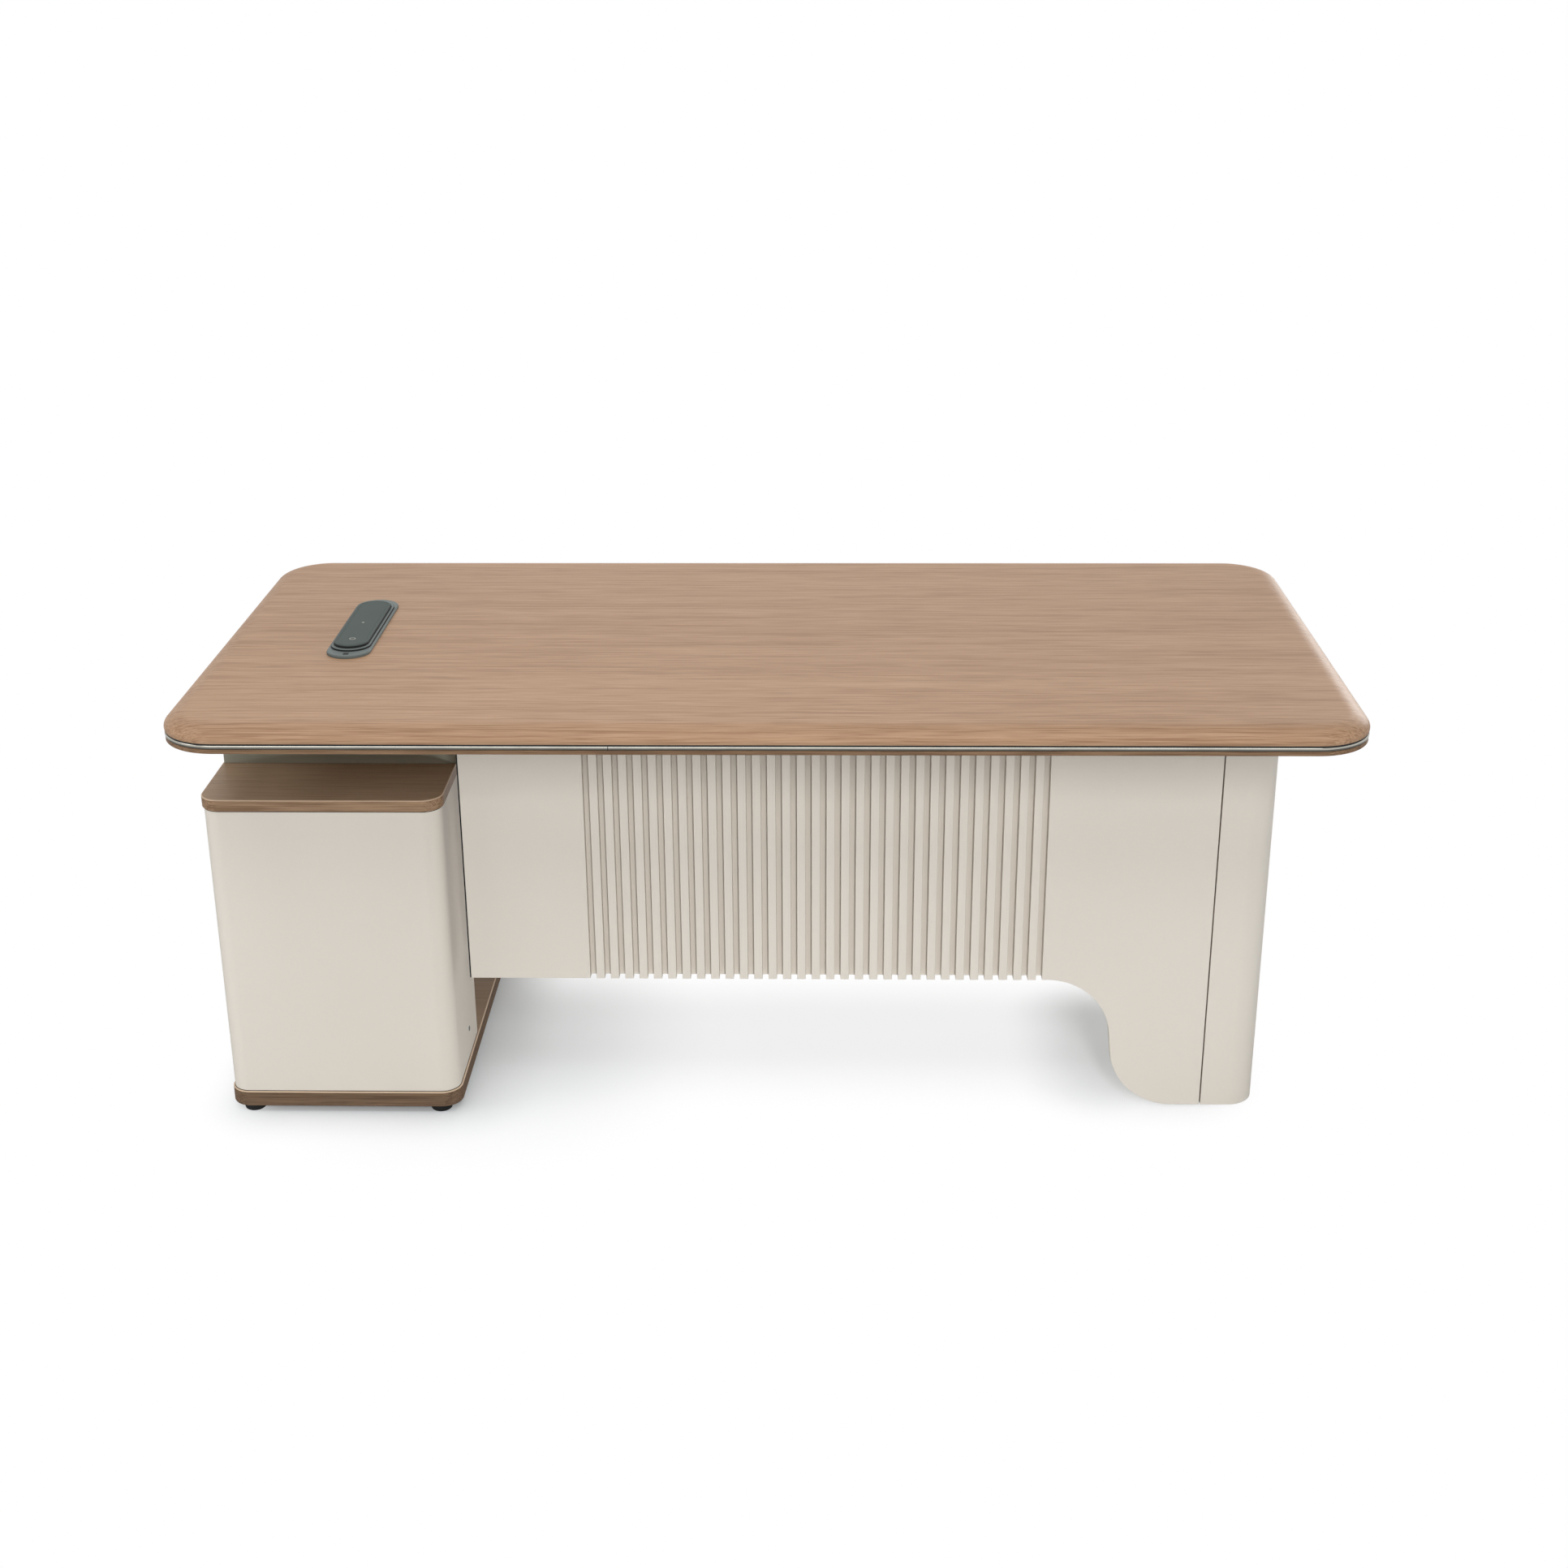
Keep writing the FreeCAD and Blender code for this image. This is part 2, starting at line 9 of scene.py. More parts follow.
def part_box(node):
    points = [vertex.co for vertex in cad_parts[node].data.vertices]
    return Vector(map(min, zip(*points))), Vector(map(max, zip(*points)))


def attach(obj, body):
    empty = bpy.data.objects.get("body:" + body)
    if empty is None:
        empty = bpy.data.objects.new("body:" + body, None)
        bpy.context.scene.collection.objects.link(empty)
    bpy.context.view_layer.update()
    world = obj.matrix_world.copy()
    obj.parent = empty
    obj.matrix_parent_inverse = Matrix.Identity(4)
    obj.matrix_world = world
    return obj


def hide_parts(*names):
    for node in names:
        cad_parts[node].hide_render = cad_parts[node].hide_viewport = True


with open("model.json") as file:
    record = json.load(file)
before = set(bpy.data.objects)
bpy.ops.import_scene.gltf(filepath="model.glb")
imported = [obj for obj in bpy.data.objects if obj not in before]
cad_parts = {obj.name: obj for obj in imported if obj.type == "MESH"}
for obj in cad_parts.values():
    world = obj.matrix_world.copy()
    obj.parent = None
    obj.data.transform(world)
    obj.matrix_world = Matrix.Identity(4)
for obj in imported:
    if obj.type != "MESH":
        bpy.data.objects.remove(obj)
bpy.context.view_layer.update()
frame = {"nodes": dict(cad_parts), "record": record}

MM = 0.001

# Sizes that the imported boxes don't give, as the part's source has them
top_corner = 90 * MM
roll_width = 36 * MM
roll_drop = 20 * MM
trim_depth = 14 * MM
trim_bed = 0.3 * MM
trim_recess = 2.4 * MM
trim_bulge = 2.2 * MM
trim_joint_gap = 1.0 * MM
trim_joint_share = 0.374
facing = 16 * MM
seam_gap = 2.0 * MM
leg_round = 45 * MM
upper_curve = 105 * MM
lower_curve = 107 * MM
toe_width = 48 * MM
curve_slope = math.radians(6)
shell_board = 18 * MM
shell_round = 30 * MM
cap_overhang = 3 * MM
cap_rear_round = 6 * MM
slat_count = 31
slat_width = 13.6 * MM
slat_round = 1.3 * MM
flange_length = 309 * MM
flange_width = 71 * MM
flange_height = 5 * MM
ring_length = 262 * MM
ring_width = 63 * MM
bore_gap = 0.6 * MM
cutout_gap = 0.4 * MM
socket_pitch = 60 * MM
tray_wall = 1.6 * MM
pull_plate = 1.5 * MM
support_flange = 4 * MM
support_radius = 19 * MM

# Sizes of the drawn pieces alone
arris = 0.7 * MM
board_ease = 0.9 * MM
drawer_front_ease = 1.0 * MM
cap_ease = 2.2 * MM
ring_crisp = 0.8 * MM
weld_distance = 1e-6
quarter_turn = (0, 0.4, 0.8, 1.2, 1.571)

# Camera, fitted to the photograph's straight edges
photo_pixels = 1932
focal_pixels = 2671.4
sensor_width = 36.0
camera_place = Vector((0.0930, -3.4039, 1.8507))
camera_tilt = math.radians(21.861)
camera_heading = math.radians(-1.199)
camera_roll = math.radians(-0.312)


def plan_of(node):
    """Lowest and highest x, then lowest and highest y, of a CAD node."""
    low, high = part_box(node)
    return low.x, high.x, low.y, high.y


def height_of(node):
    """Lowest and highest z of a CAD node."""
    low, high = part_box(node)
    return low.z, high.z


def centre_of(node):
    """The x and y of a CAD node's middle."""
    x0, x1, y0, y1 = plan_of(node)
    return (x0 + x1) / 2, (y0 + y1) / 2


def footprint_of(node):
    """A CAD node's length along Y and its width along X."""
    x0, x1, y0, y1 = plan_of(node)
    return y1 - y0, x1 - x0


# Sockets, nodes and finishes

class Wire:
    """An output socket; arithmetic on it adds Math nodes to its tree."""

    def __init__(self, bench, socket):
        self.bench = bench
        self.socket = socket

    def work(self, operation, first, second):
        return self.bench.add("ShaderNodeMath", {"operation": operation}, {0: first, 1: second})

    def __add__(self, other):
        return self.work("ADD", self, other)

    def __radd__(self, other):
        return self.work("ADD", other, self)

    def __sub__(self, other):
        return self.work("SUBTRACT", self, other)

    def __rsub__(self, other):
        return self.work("SUBTRACT", other, self)

    def __mul__(self, other):
        return self.work("MULTIPLY", self, other)

    def __rmul__(self, other):
        return self.work("MULTIPLY", other, self)


class Bench:
    """Adds nodes to one tree: a type, its settings and its sockets' values or wires."""

    def __init__(self, tree):
        self.tree = tree

    def add(self, kind, settings=None, sockets=None, out=0):
        node = self.tree.nodes.new(kind)
        for name, value in (settings or {}).items():
            setattr(node, name, value)
        for key, value in (sockets or {}).items():
            if isinstance(value, Wire):
                self.tree.links.new(value.socket, node.inputs[key])
            else:
                node.inputs[key].default_value = value
        return None if out is None else Wire(self, node.outputs[out])

    def place(self, scale=(1, 1, 1), shift=(0, 0, 0)):
        """Object coordinates, stretched by scale and moved by shift."""
        here = self.add("ShaderNodeTexCoord", out="Object")
        return self.add("ShaderNodeMapping", None, {"Vector": here, "Scale": scale, "Location": shift})

    def noise(self, where, scale=1.0, detail=2.0, roughness=0.5):
        sockets = {"Vector": where, "Scale": scale, "Detail": detail, "Roughness": roughness}
        return self.add("ShaderNodeTexNoise", None, sockets)

    def band(self, value, low, high):
        """0 below low, 1 above high, smooth between."""
        sockets = {"Value": value, "From Min": low, "From Max": high}
        return self.add("ShaderNodeMapRange", {"interpolation_type": "SMOOTHSTEP"}, sockets)

    def blend(self, share, first, second):
        """The first colour where share is 0, the second where it is 1."""
        sockets = {0: share, 6: first, 7: second}
        return self.add("ShaderNodeMix", {"data_type": "RGBA"}, sockets, out=2)

    def relief(self, height, distance, strength):
        sockets = {"Height": height, "Distance": distance, "Strength": strength}
        return self.add("ShaderNodeBump", None, sockets)

    def mark(self, name):
        """A point attribute of the piece, or 0 where it has none."""
        return self.add("ShaderNodeAttribute", {"attribute_name": name}, out="Fac")

    def ray(self, kind):
        """1 for rays of this kind."""
        return self.add("ShaderNodeLightPath", out=kind)


def rgb(red, green, blue):
    """An sRGB colour, 0 to 255, as Blender's linear colour."""
    def linear(value):
        share = value / 255
        return share / 12.92 if share <= 0.04045 else ((share + 0.055) / 1.055) ** 2.4
    return linear(red), linear(green), linear(blue), 1.0


def new_finish(name):
    material = bpy.data.materials.new(name)
    material.use_nodes = True
    material.node_tree.nodes.clear()
    return material, Bench(material.node_tree)


def close_finish(bench, sockets):
    shader = bench.add("ShaderNodeBsdfPrincipled", None, sockets)
    bench.add("ShaderNodeOutputMaterial", None, {"Surface": shader}, out=None)


def walnut_veneer(name, pale, middle, dark, shift):
    """Satin veneer with its grain along X: slow bands, long lines, short streaks and pores. Where a
    pedestal cap is marked, it has a painted highlight on its upper rim and painted light on its upper
    sheet."""
    material, bench = new_finish(name)

    def layer(along, across, detail=2.0, roughness=0.5):
        """Noise with so many cells a metre along the grain and across it."""
        where = bench.place((along, across, across), shift)
        return bench.noise(where, detail=detail, roughness=roughness)

    bands = layer(along=0.8, across=22)
    lines = layer(along=3.5, across=190, roughness=0.55)
    streaks = layer(along=11, across=520, roughness=0.6)
    pores = layer(along=40, across=1600, detail=1.0)
    tone = 0.14 * bands + 0.38 * lines + 0.48 * streaks
    grain = bench.blend(bench.band(tone, 0.41, 0.50), dark, middle)
    grain = bench.blend(bench.band(tone, 0.50, 0.59), grain, pale)
    vessels = bench.band(lines, 0.60, 0.70)
    pits = bench.band(pores, 0.62, 0.74)
    grain = bench.blend(0.45 * vessels, grain, dark)
    grain = bench.blend(0.30 * pits, grain, dark)
    # Painted highlight on the caps' upper rim and painted light over their upper sheet
    painted_rim_highlight = rgb(214, 190, 164)
    painted_sheet_light = rgb(232, 205, 176)
    colour = bench.blend(0.85 * bench.mark("cap_rim"), grain, painted_rim_highlight)
    colour = bench.blend(0.32 * bench.mark("cap_sheet"), colour, painted_sheet_light)
    close_finish(bench, {
        "Base Color": colour,
        "Roughness": 0.42 + 0.10 * streaks + 0.10 * pits,
        "Normal": bench.relief(0.5 * streaks - pits, distance=0.10 * MM, strength=0.20),
        "Specular IOR Level": 0.08,
        "Coat Weight": 0.15,
        "Coat Roughness": 0.30,
    })
    return material


def cream_laminate(name, pale, warm):
    """Matt pressed laminate: a faint cloud in the colour and a fine pearl in the surface."""
    material, bench = new_finish(name)
    cloud = bench.noise(bench.place((2.2, 2.2, 1.4)))
    pearl = bench.noise(bench.place(), scale=950.0, roughness=0.6)
    colour = bench.blend(bench.band(0.7 * cloud + 0.3 * pearl, 0.35, 0.65), warm, pale)
    close_finish(bench, {
        "Base Color": colour,
        "Roughness": 0.50 + 0.14 * pearl,
        "Normal": bench.relief(pearl, distance=0.06 * MM, strength=0.25),
        "Specular IOR Level": 0.4,
    })
    return material


def drawn_metal(name, pale, dark, stretch, roughness):
    """Bare or plated metal with drawing lines along one way."""
    material, bench = new_finish(name)
    lines = bench.noise(bench.place(stretch), detail=3.0, roughness=0.6)
    cloud = bench.noise(bench.place(), scale=24.0)
    colour = bench.blend(bench.band(0.5 * lines + 0.5 * cloud, 0.35, 0.65), dark, pale)
    close_finish(bench, {
        "Base Color": colour,
        "Metallic": 1.0,
        "Roughness": roughness + 0.14 * lines,
        "Normal": bench.relief(lines, distance=0.03 * MM, strength=0.15),
    })
    return material


def matt_plastic(name, pale, dark, grain_size, roughness, depth):
    """Moulded plastic or powder coat: a fine grain with a slow drift of tone."""
    material, bench = new_finish(name)
    grain = bench.noise(bench.place(), scale=1.0 / grain_size, roughness=0.6)
    cloud = bench.noise(bench.place(), scale=9.0)
    colour = bench.blend(bench.band(0.6 * grain + 0.4 * cloud, 0.36, 0.64), dark, pale)
    close_finish(bench, {
        "Base Color": colour,
        "Roughness": roughness + 0.16 * grain,
        "Normal": bench.relief(grain, distance=depth, strength=0.35),
        "Specular IOR Level": 0.20,
    })
    return material


desktop_grain = (3.1, 7.7, 1.9)
pedestal_grain = (9.4, 2.3, 5.2)
trim_lines = (3, 900, 900)
steel_lines = (420, 14, 420)
finishes = {name: make(name, *values) for name, make, *values in (
    ("desktop_walnut", walnut_veneer,
     rgb(179, 146, 118), rgb(168, 135, 107), rgb(149, 116, 90), desktop_grain),
    ("pedestal_walnut", walnut_veneer,
     rgb(164, 134, 106), rgb(149, 120, 95), rgb(125, 99, 76), pedestal_grain),
    ("cream_board", cream_laminate, rgb(222, 214, 203), rgb(217, 209, 198)),
    ("trim_metal", drawn_metal, rgb(180, 178, 169), rgb(164, 162, 153), trim_lines, 0.08),
    ("steel", drawn_metal, rgb(196, 198, 200), rgb(168, 170, 172), steel_lines, 0.32),
    # After two tones: size of the grain, roughness, depth of the grain
    ("tray_grey", matt_plastic, rgb(114, 117, 120), rgb(103, 106, 109), 0.7 * MM, 0.48, 0.05 * MM),
    ("power_grey", matt_plastic, rgb(104, 112, 110), rgb(95, 103, 101), 0.5 * MM, 0.40, 0.03 * MM),
    ("power_pad", matt_plastic, rgb(64, 73, 70), rgb(58, 67, 64), 0.4 * MM, 0.50, 0.03 * MM),
    ("socket_black", matt_plastic, rgb(52, 53, 54), rgb(44, 45, 46), 0.4 * MM, 0.40, 0.03 * MM),
    ("black_plastic", matt_plastic, rgb(44, 44, 44), rgb(34, 34, 34), 0.6 * MM, 0.50, 0.05 * MM),
)}

# Darker tones of a slot's finish: painted shade on the risers and the desktop's under board, a darker
# walnut on the pedestal's base
riser_laminate = cream_laminate("riser_laminate", rgb(176, 176, 162), rgb(170, 170, 156))
darker_finishes = {
    "riser_front": riser_laminate,
    "riser_left": riser_laminate,
    "desktop_lower": walnut_veneer("desktop_walnut_underside", rgb(140, 112, 87), rgb(128, 101, 77),
                                   rgb(108, 84, 64), desktop_grain),
    "cabinet_base": walnut_veneer("pedestal_walnut_base", rgb(126, 102, 82), rgb(113, 91, 72),
                                  rgb(96, 76, 59), pedestal_grain),
}


def finish_for(slot, nodes):
    """A board's darker finish listed above, or else its slot's."""
    return next((darker_finishes[node] for node in nodes if node in darker_finishes), finishes[slot])


for part in frame["record"]["subparts"]:
    for slot in frame["nodes"][part["node"]].material_slots:
        slot.material = finish_for(part["material_slot"], (part["node"],))


# Meshes

def loft(rings, joined=False):
    """Skin through rings of equal length, capped at both ends, or joined last to first."""
    bm = bmesh.new()
    loops = [[bm.verts.new(point) for point in ring] for ring in rings]
    pairs = list(zip(loops, loops[1:]))
    if joined:
        pairs.append((loops[-1], loops[0]))
    else:
        bm.faces.new(loops[0][::-1])
        bm.faces.new(loops[-1])
    for lower, upper in pairs:
        for here in range(len(lower)):
            after = (here + 1) % len(lower)
            bm.faces.new((lower[here], lower[after], upper[after], upper[here]))
    return bm


def rounded_ring(sides, radii, z, inset=0.0, steps=12):
    """Points round a rectangle from its front left corner, each corner with its own radius."""
    x0, x1, y0, y1 = sides
    middles = ((x0 + radii[0], y0 + radii[0]), (x1 - radii[1], y0 + radii[1]),
               (x1 - radii[2], y1 - radii[2]), (x0 + radii[3], y1 - radii[3]))
    ring = []
    for quarter, ((x, y), radius) in enumerate(zip(middles, radii)):
        reach = radius - inset
        for step in range(steps + 1):
            angle = math.pi * (1 + quarter / 2 + step / (2 * steps))
            ring.append((x + reach * math.cos(angle), y + reach * math.sin(angle), z))
    return ring


def bent_pair(sides, radius, inset, first):
    """Outline points round two neighbouring corners of a rectangle, from corner number first."""
    steps = 20
    ring = rounded_ring(sides, [radius] * 4, 0, inset, steps)
    return [point[:2] for point in ring[first * (steps + 1):(first + 2) * (steps + 1)]]


def rounded_rim(z, drop, reach, turns=quarter_turn):
    """Rows of height and inset round a rim that ends at z, drop high and reach wide."""
    return [(z - drop * (1 - math.sin(turn)), reach * (1 - math.cos(turn))) for turn in turns]


def plate_rings(sides, radii, z0, z1, ease, steps=12, turns=4):
    """Rings of a flat plate whose upper and lower rims are rounded by ease."""
    arc = [math.pi / 2 * step / turns for step in range(turns + 1)]
    rings = []
    for end, sign in ((z0, 1), (z1, -1)):
        rim = [rounded_ring(sides, radii, end + sign * ease * (1 - math.sin(turn)),
                            ease * (1 - math.cos(turn)), steps) for turn in arc]
        rings += rim[::-1] if sign > 0 else rim
    return rings


def turned(profile, x=0.0, y=0.0, steps=48, joined=False):
    """A piece turned on a lathe: profile is (radius, height) from the bottom up."""
    circle = [2 * math.pi * step / steps for step in range(steps)]
    rings = [[(x + radius * math.cos(angle), y + radius * math.sin(angle), z) for angle in circle]
             for radius, z in profile]
    return loft(rings, joined)


def turned_over(bm, axis, angle):
    bmesh.ops.rotate(bm, verts=bm.verts[:], matrix=Matrix.Rotation(angle, 3, axis))
    return bm


def prism(outline, z0, z1):
    return loft([[(x, y, z) for x, y in outline] for z in (z0, z1)])


def block(sides, z0, z1):
    x0, x1, y0, y1 = sides
    return prism([(x0, y0), (x1, y0), (x1, y1), (x0, y1)], z0, z1)


def ease_edges(bm, width):
    """Round every edge where two faces meet at more than a shallow angle."""
    shallow = 0.6
    bmesh.ops.remove_doubles(bm, verts=bm.verts[:], dist=weld_distance)
    edges = [edge for edge in bm.edges if edge.is_manifold and edge.calc_face_angle() > shallow]
    bmesh.ops.bevel(bm, geom=edges, offset=width, offset_type="OFFSET", segments=2, profile=0.5,
                    affect="EDGES", clamp_overlap=True)
    return bm


# Objects and pieces

def linked_object(name, mesh):
    obj = bpy.data.objects.new(name, mesh)
    bpy.context.scene.collection.objects.link(obj)
    return obj


def shaped_object(name, bm):
    """An object of a shape, welded and with its faces outward."""
    bmesh.ops.remove_doubles(bm, verts=bm.verts[:], dist=weld_distance)
    bmesh.ops.recalc_face_normals(bm, faces=bm.faces[:])
    mesh = bpy.data.meshes.new(name)
    bm.to_mesh(mesh)
    bm.free()
    return linked_object(name, mesh)


def plain_mesh(obj):
    """Swap an object's data for what its modifiers make of it."""
    graph = bpy.context.evaluated_depsgraph_get()
    mesh = bpy.data.meshes.new_from_object(obj.evaluated_get(graph), preserve_all_data_layers=True,
                                           depsgraph=graph)
    obj.modifiers.clear()
    old = obj.data
    obj.data = mesh
    bpy.data.meshes.remove(old)
    mesh.name = obj.name


def cut_away(obj, bm):
    """Take a closed cutter's volume out of an object."""
    cutter = shaped_object(obj.name + "_cutter", bm)
    modifier = obj.modifiers.new("cut", "BOOLEAN")
    modifier.operation = "DIFFERENCE"
    modifier.solver = "EXACT"
    modifier.object = cutter
    plain_mesh(obj)
    bpy.data.objects.remove(cutter)


def finish_piece(obj, slot, body="frame", nodes=()):
    """Smooth shading that keeps flats flat beside eased edges, then the finish, the body and the CAD
    nodes that the piece stands for."""
    sharp_angle = math.radians(40)
    obj.data.shade_smooth()
    obj.data.set_sharp_from_angle(angle=sharp_angle)
    modifier = obj.modifiers.new("flat_faces", "WEIGHTED_NORMAL")
    modifier.keep_sharp = True
    plain_mesh(obj)
    obj.data.materials.clear()
    obj.data.materials.append(finish_for(slot, nodes))
    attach(obj, body)
    if nodes:
        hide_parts(*nodes)


def new_piece(name, bm, slot, body="frame", nodes=()):
    obj = shaped_object(name, bm)
    finish_piece(obj, slot, body, nodes)
    return obj


def eased_board(node, slot, body="frame", width=board_ease):
    """A plain board in place of its CAD node, with eased edges."""
    bm = ease_edges(block(plan_of(node), *height_of(node)), width)
    new_piece(node + "_board", bm, slot, body, (node,))


# Geometry Nodes: what repeats

def new_tree(name, inputs):
    tree = bpy.data.node_groups.new(name, "GeometryNodeTree")
    for label, kind in inputs:
        tree.interface.new_socket(label, in_out="INPUT", socket_type=kind)
    tree.interface.new_socket("Geometry", in_out="OUTPUT", socket_type="NodeSocketGeometry")
    bench = Bench(tree)
    source = tree.nodes.new("NodeGroupInput")
    given = {label: Wire(bench, source.outputs[label]) for label, kind in inputs}
    return tree, bench, given


def end_tree(bench, points, shape, finish):
    rows = bench.add("GeometryNodeInstanceOnPoints", None, {"Points": points, "Instance": shape})
    solid = bench.add("GeometryNodeRealizeInstances", None, {"Geometry": rows})
    dressed = bench.add("GeometryNodeSetMaterial", None, {"Geometry": solid, "Material": finish})
    bench.add("NodeGroupOutput", None, {"Geometry": dressed}, out=None)


def slat_row_tree():
    """Upright slats with rounded corners, one every pitch."""
    tree, bench, given = new_tree("slat_row", (
        ("Count", "NodeSocketInt"), ("Pitch", "NodeSocketFloat"), ("First", "NodeSocketVector"),
        ("Width", "NodeSocketFloat"), ("Depth", "NodeSocketFloat"), ("Height", "NodeSocketFloat"),
        ("Round", "NodeSocketFloat"), ("Finish", "NodeSocketMaterial")))
    corner_points = 6
    weld = 0.01 * MM
    section = bench.add("GeometryNodeCurvePrimitiveQuadrilateral", {"mode": "RECTANGLE"},
                        {"Width": given["Width"], "Height": given["Depth"]})
    section = bench.add("GeometryNodeFilletCurve", {"mode": "POLY"},
                        {"Curve": section, "Count": corner_points, "Radius": given["Round"]})
    foot = bench.add("GeometryNodeFillCurve", {"mode": "NGONS"}, {"Curve": section})
    rise = bench.add("ShaderNodeCombineXYZ", None, {"Z": given["Height"]})
    body = bench.add("GeometryNodeExtrudeMesh", {"mode": "FACES"},
                     {"Mesh": foot, "Offset": rise, "Offset Scale": 1.0, "Individual": False})
    sole = bench.add("GeometryNodeFlipFaces", None, {"Mesh": foot})
    join = bench.add("GeometryNodeJoinGeometry", None, {"Geometry": body})
    bench.tree.links.new(sole.socket, join.socket.node.inputs["Geometry"])
    slat = bench.add("GeometryNodeMergeByDistance", None, {"Geometry": join, "Distance": weld})
    step = bench.add("ShaderNodeCombineXYZ", None, {"X": given["Pitch"]})
    points = bench.add("GeometryNodeMeshLine", {"mode": "OFFSET"},
                       {"Count": given["Count"], "Start Location": given["First"], "Offset": step})
    end_tree(bench, points, slat, given["Finish"])
    return tree


def repeat_tree():
    """One shape set at every point of the host mesh."""
    tree, bench, given = new_tree("repeat_at_points", (
        ("Points", "NodeSocketGeometry"), ("Shape", "NodeSocketObject"),
        ("Finish", "NodeSocketMaterial")))
    shape = bench.add("GeometryNodeObjectInfo", {"transform_space": "ORIGINAL"},
                      {"Object": given["Shape"], "As Instance": True}, out="Geometry")
    end_tree(bench, given["Points"], shape, given["Finish"])
    return tree


def grow(obj, tree, values):
    """Run a tree on an object and keep the plain mesh."""
    modifier = obj.modifiers.new("grow", "NODES")
    modifier.node_group = tree
    for item in tree.interface.items_tree:
        if item.name in values:
            modifier[item.identifier] = values[item.name]
    plain_mesh(obj)


point_tree = repeat_tree()


def repeat_piece(name, bm, points, slot, body="frame", nodes=()):
    """The same small piece at several places, as one object."""
    shape = shaped_object(name + "_one", bm)
    mesh = bpy.data.meshes.new(name)
    mesh.from_pydata(points, [], [])
    obj = linked_object(name, mesh)
    grow(obj, point_tree, {"Shape": shape, "Finish": finishes[slot]})
    bpy.data.objects.remove(shape)
    finish_piece(obj, slot, body, nodes)


# Desktop

def top_ring(z, inset):
    """Ring parallel to the desktop's outline."""
    return rounded_ring(plan_of("desktop_upper"), [top_corner] * 4, z, inset, steps=24)


def power_capsule(size, z, inset=0.0):
    """Ring with half-round ends about the power unit's middle; size is length along Y, then width."""
    length, width = size
    x, y = centre_of("power_tower")
    sides = (x - width / 2, x + width / 2, y - length / 2, y + length / 2)
    return rounded_ring(sides, [width / 2] * 4, z, inset, steps=16)


def power_hole():
    """Cutter for the power unit's opening through both desktop boards."""
    length, width = footprint_of("power_housing")
    opening = (length + 2 * cutout_gap, width + 2 * cutout_gap)
    low = height_of("desktop_lower")[0] - roll_drop
    high = height_of("desktop_upper")[1] + roll_drop
    return loft([power_capsule(opening, low), power_capsule(opening, high)])


def veneered_top():
    """Upper board: tucked in above the trim, and rolled over to its face on all four sides."""
    z0, z1 = height_of("desktop_upper")
    tuck = trim_recess + 0.8 * MM
    tuck_height = z1 - roll_drop - z0
    tuck_turn = (0, 0.3, 0.6, 0.9, 1.2)
    roll_steps = 18
    roll_turn = [math.pi / 2 * step / roll_steps for step in range(roll_steps + 1)]
    rows = [(z0 + tuck_height * (1 - math.cos(turn)), tuck * (1 - math.sin(turn))) for turn in tuck_turn]
    rows += rounded_rim(z1, roll_drop, roll_width, roll_turn)
    board = shaped_object("desktop_veneered_board", loft([top_ring(z, inset) for z, inset in rows]))
    cut_away(board, power_hole())
    finish_piece(board, "desktop_walnut", nodes=("desktop_upper",))


def under_board():
    """Lower board, with the rebate that the trim lies in."""
    z0, z1 = height_of("desktop_lower")
    z_trim = height_of("edge_trim")[0]
    edge = plan_of("desktop_lower")[0] - plan_of("desktop_upper")[0]
    rows = [(z0, edge + arris), (z0 + arris, edge), (z_trim - arris, edge),
            (z_trim, edge + arris), (z_trim, trim_depth), (z1, trim_depth)]
    board = shaped_object("desktop_under_board", loft([top_ring(z, inset) for z, inset in rows]))
    cut_away(board, power_hole())
    finish_piece(board, "desktop_walnut", nodes=("desktop_lower",))


def edge_trim():
    """Half-round metal strip bedded in the rebate all round, with one butt joint in front, and a black
    strip above it that is painted shade for the shadow line under the veneer's edge."""
    z0, z1 = height_of("edge_trim")
    half = (z1 - z0) / 2
    radius = (half * half + trim_bulge * trim_bulge) / (2 * trim_bulge)
    sweep = math.asin(half / radius)
    turns = 12
    rows = [(z0, trim_depth - trim_bed)]
    for turn in range(turns + 1):
        angle = sweep * (2 * turn / turns - 1)
        rows.append(((z0 + z1) / 2 + radius * math.sin(angle),
                     trim_recess - trim_bulge + radius * (1 - math.cos(angle))))
    rows.append((z1, trim_depth - trim_bed))
    strip = loft([top_ring(z, inset) for z, inset in rows], joined=True)
    trim = shaped_object("desktop_edge_trim", strip)
    x0, x1, y0 = plan_of("desktop_upper")[:3]
    joint_x0 = x0 + (x1 - x0) * trim_joint_share
    joint_x1 = joint_x0 + trim_joint_gap
    joint_sides = (joint_x0, joint_x1, y0 - trim_depth, y0 + 2 * trim_depth)
    cut_away(trim, block(joint_sides, z0 - half, z1 + half))
    finish_piece(trim, "trim_metal", nodes=("edge_trim",))

    # Black strip over the trim: painted shade for the shadow line below the veneer
    shadow_line_top = z1 + 2.1 * MM
    shadow_line_front = 0.85 * MM
    shadow_line_back = 2 * trim_recess
    rows = [(z1, shadow_line_back), (z1, shadow_line_front), (shadow_line_top, shadow_line_front), (shadow_line_top, shadow_line_back)]
    shadow_line_strip = loft([top_ring(z, inset) for z, inset in rows], joined=True)
    new_piece("trim_seat_strip", shadow_line_strip, "black_plastic")
    key = block((joint_x0, joint_x1, y0 + shadow_line_front, y0 + trim_depth), z0, z1)
    new_piece("trim_joint_key", key, "black_plastic")


# Power unit

def flange_top():
    return height_of("power_bezel")[0] + flange_height


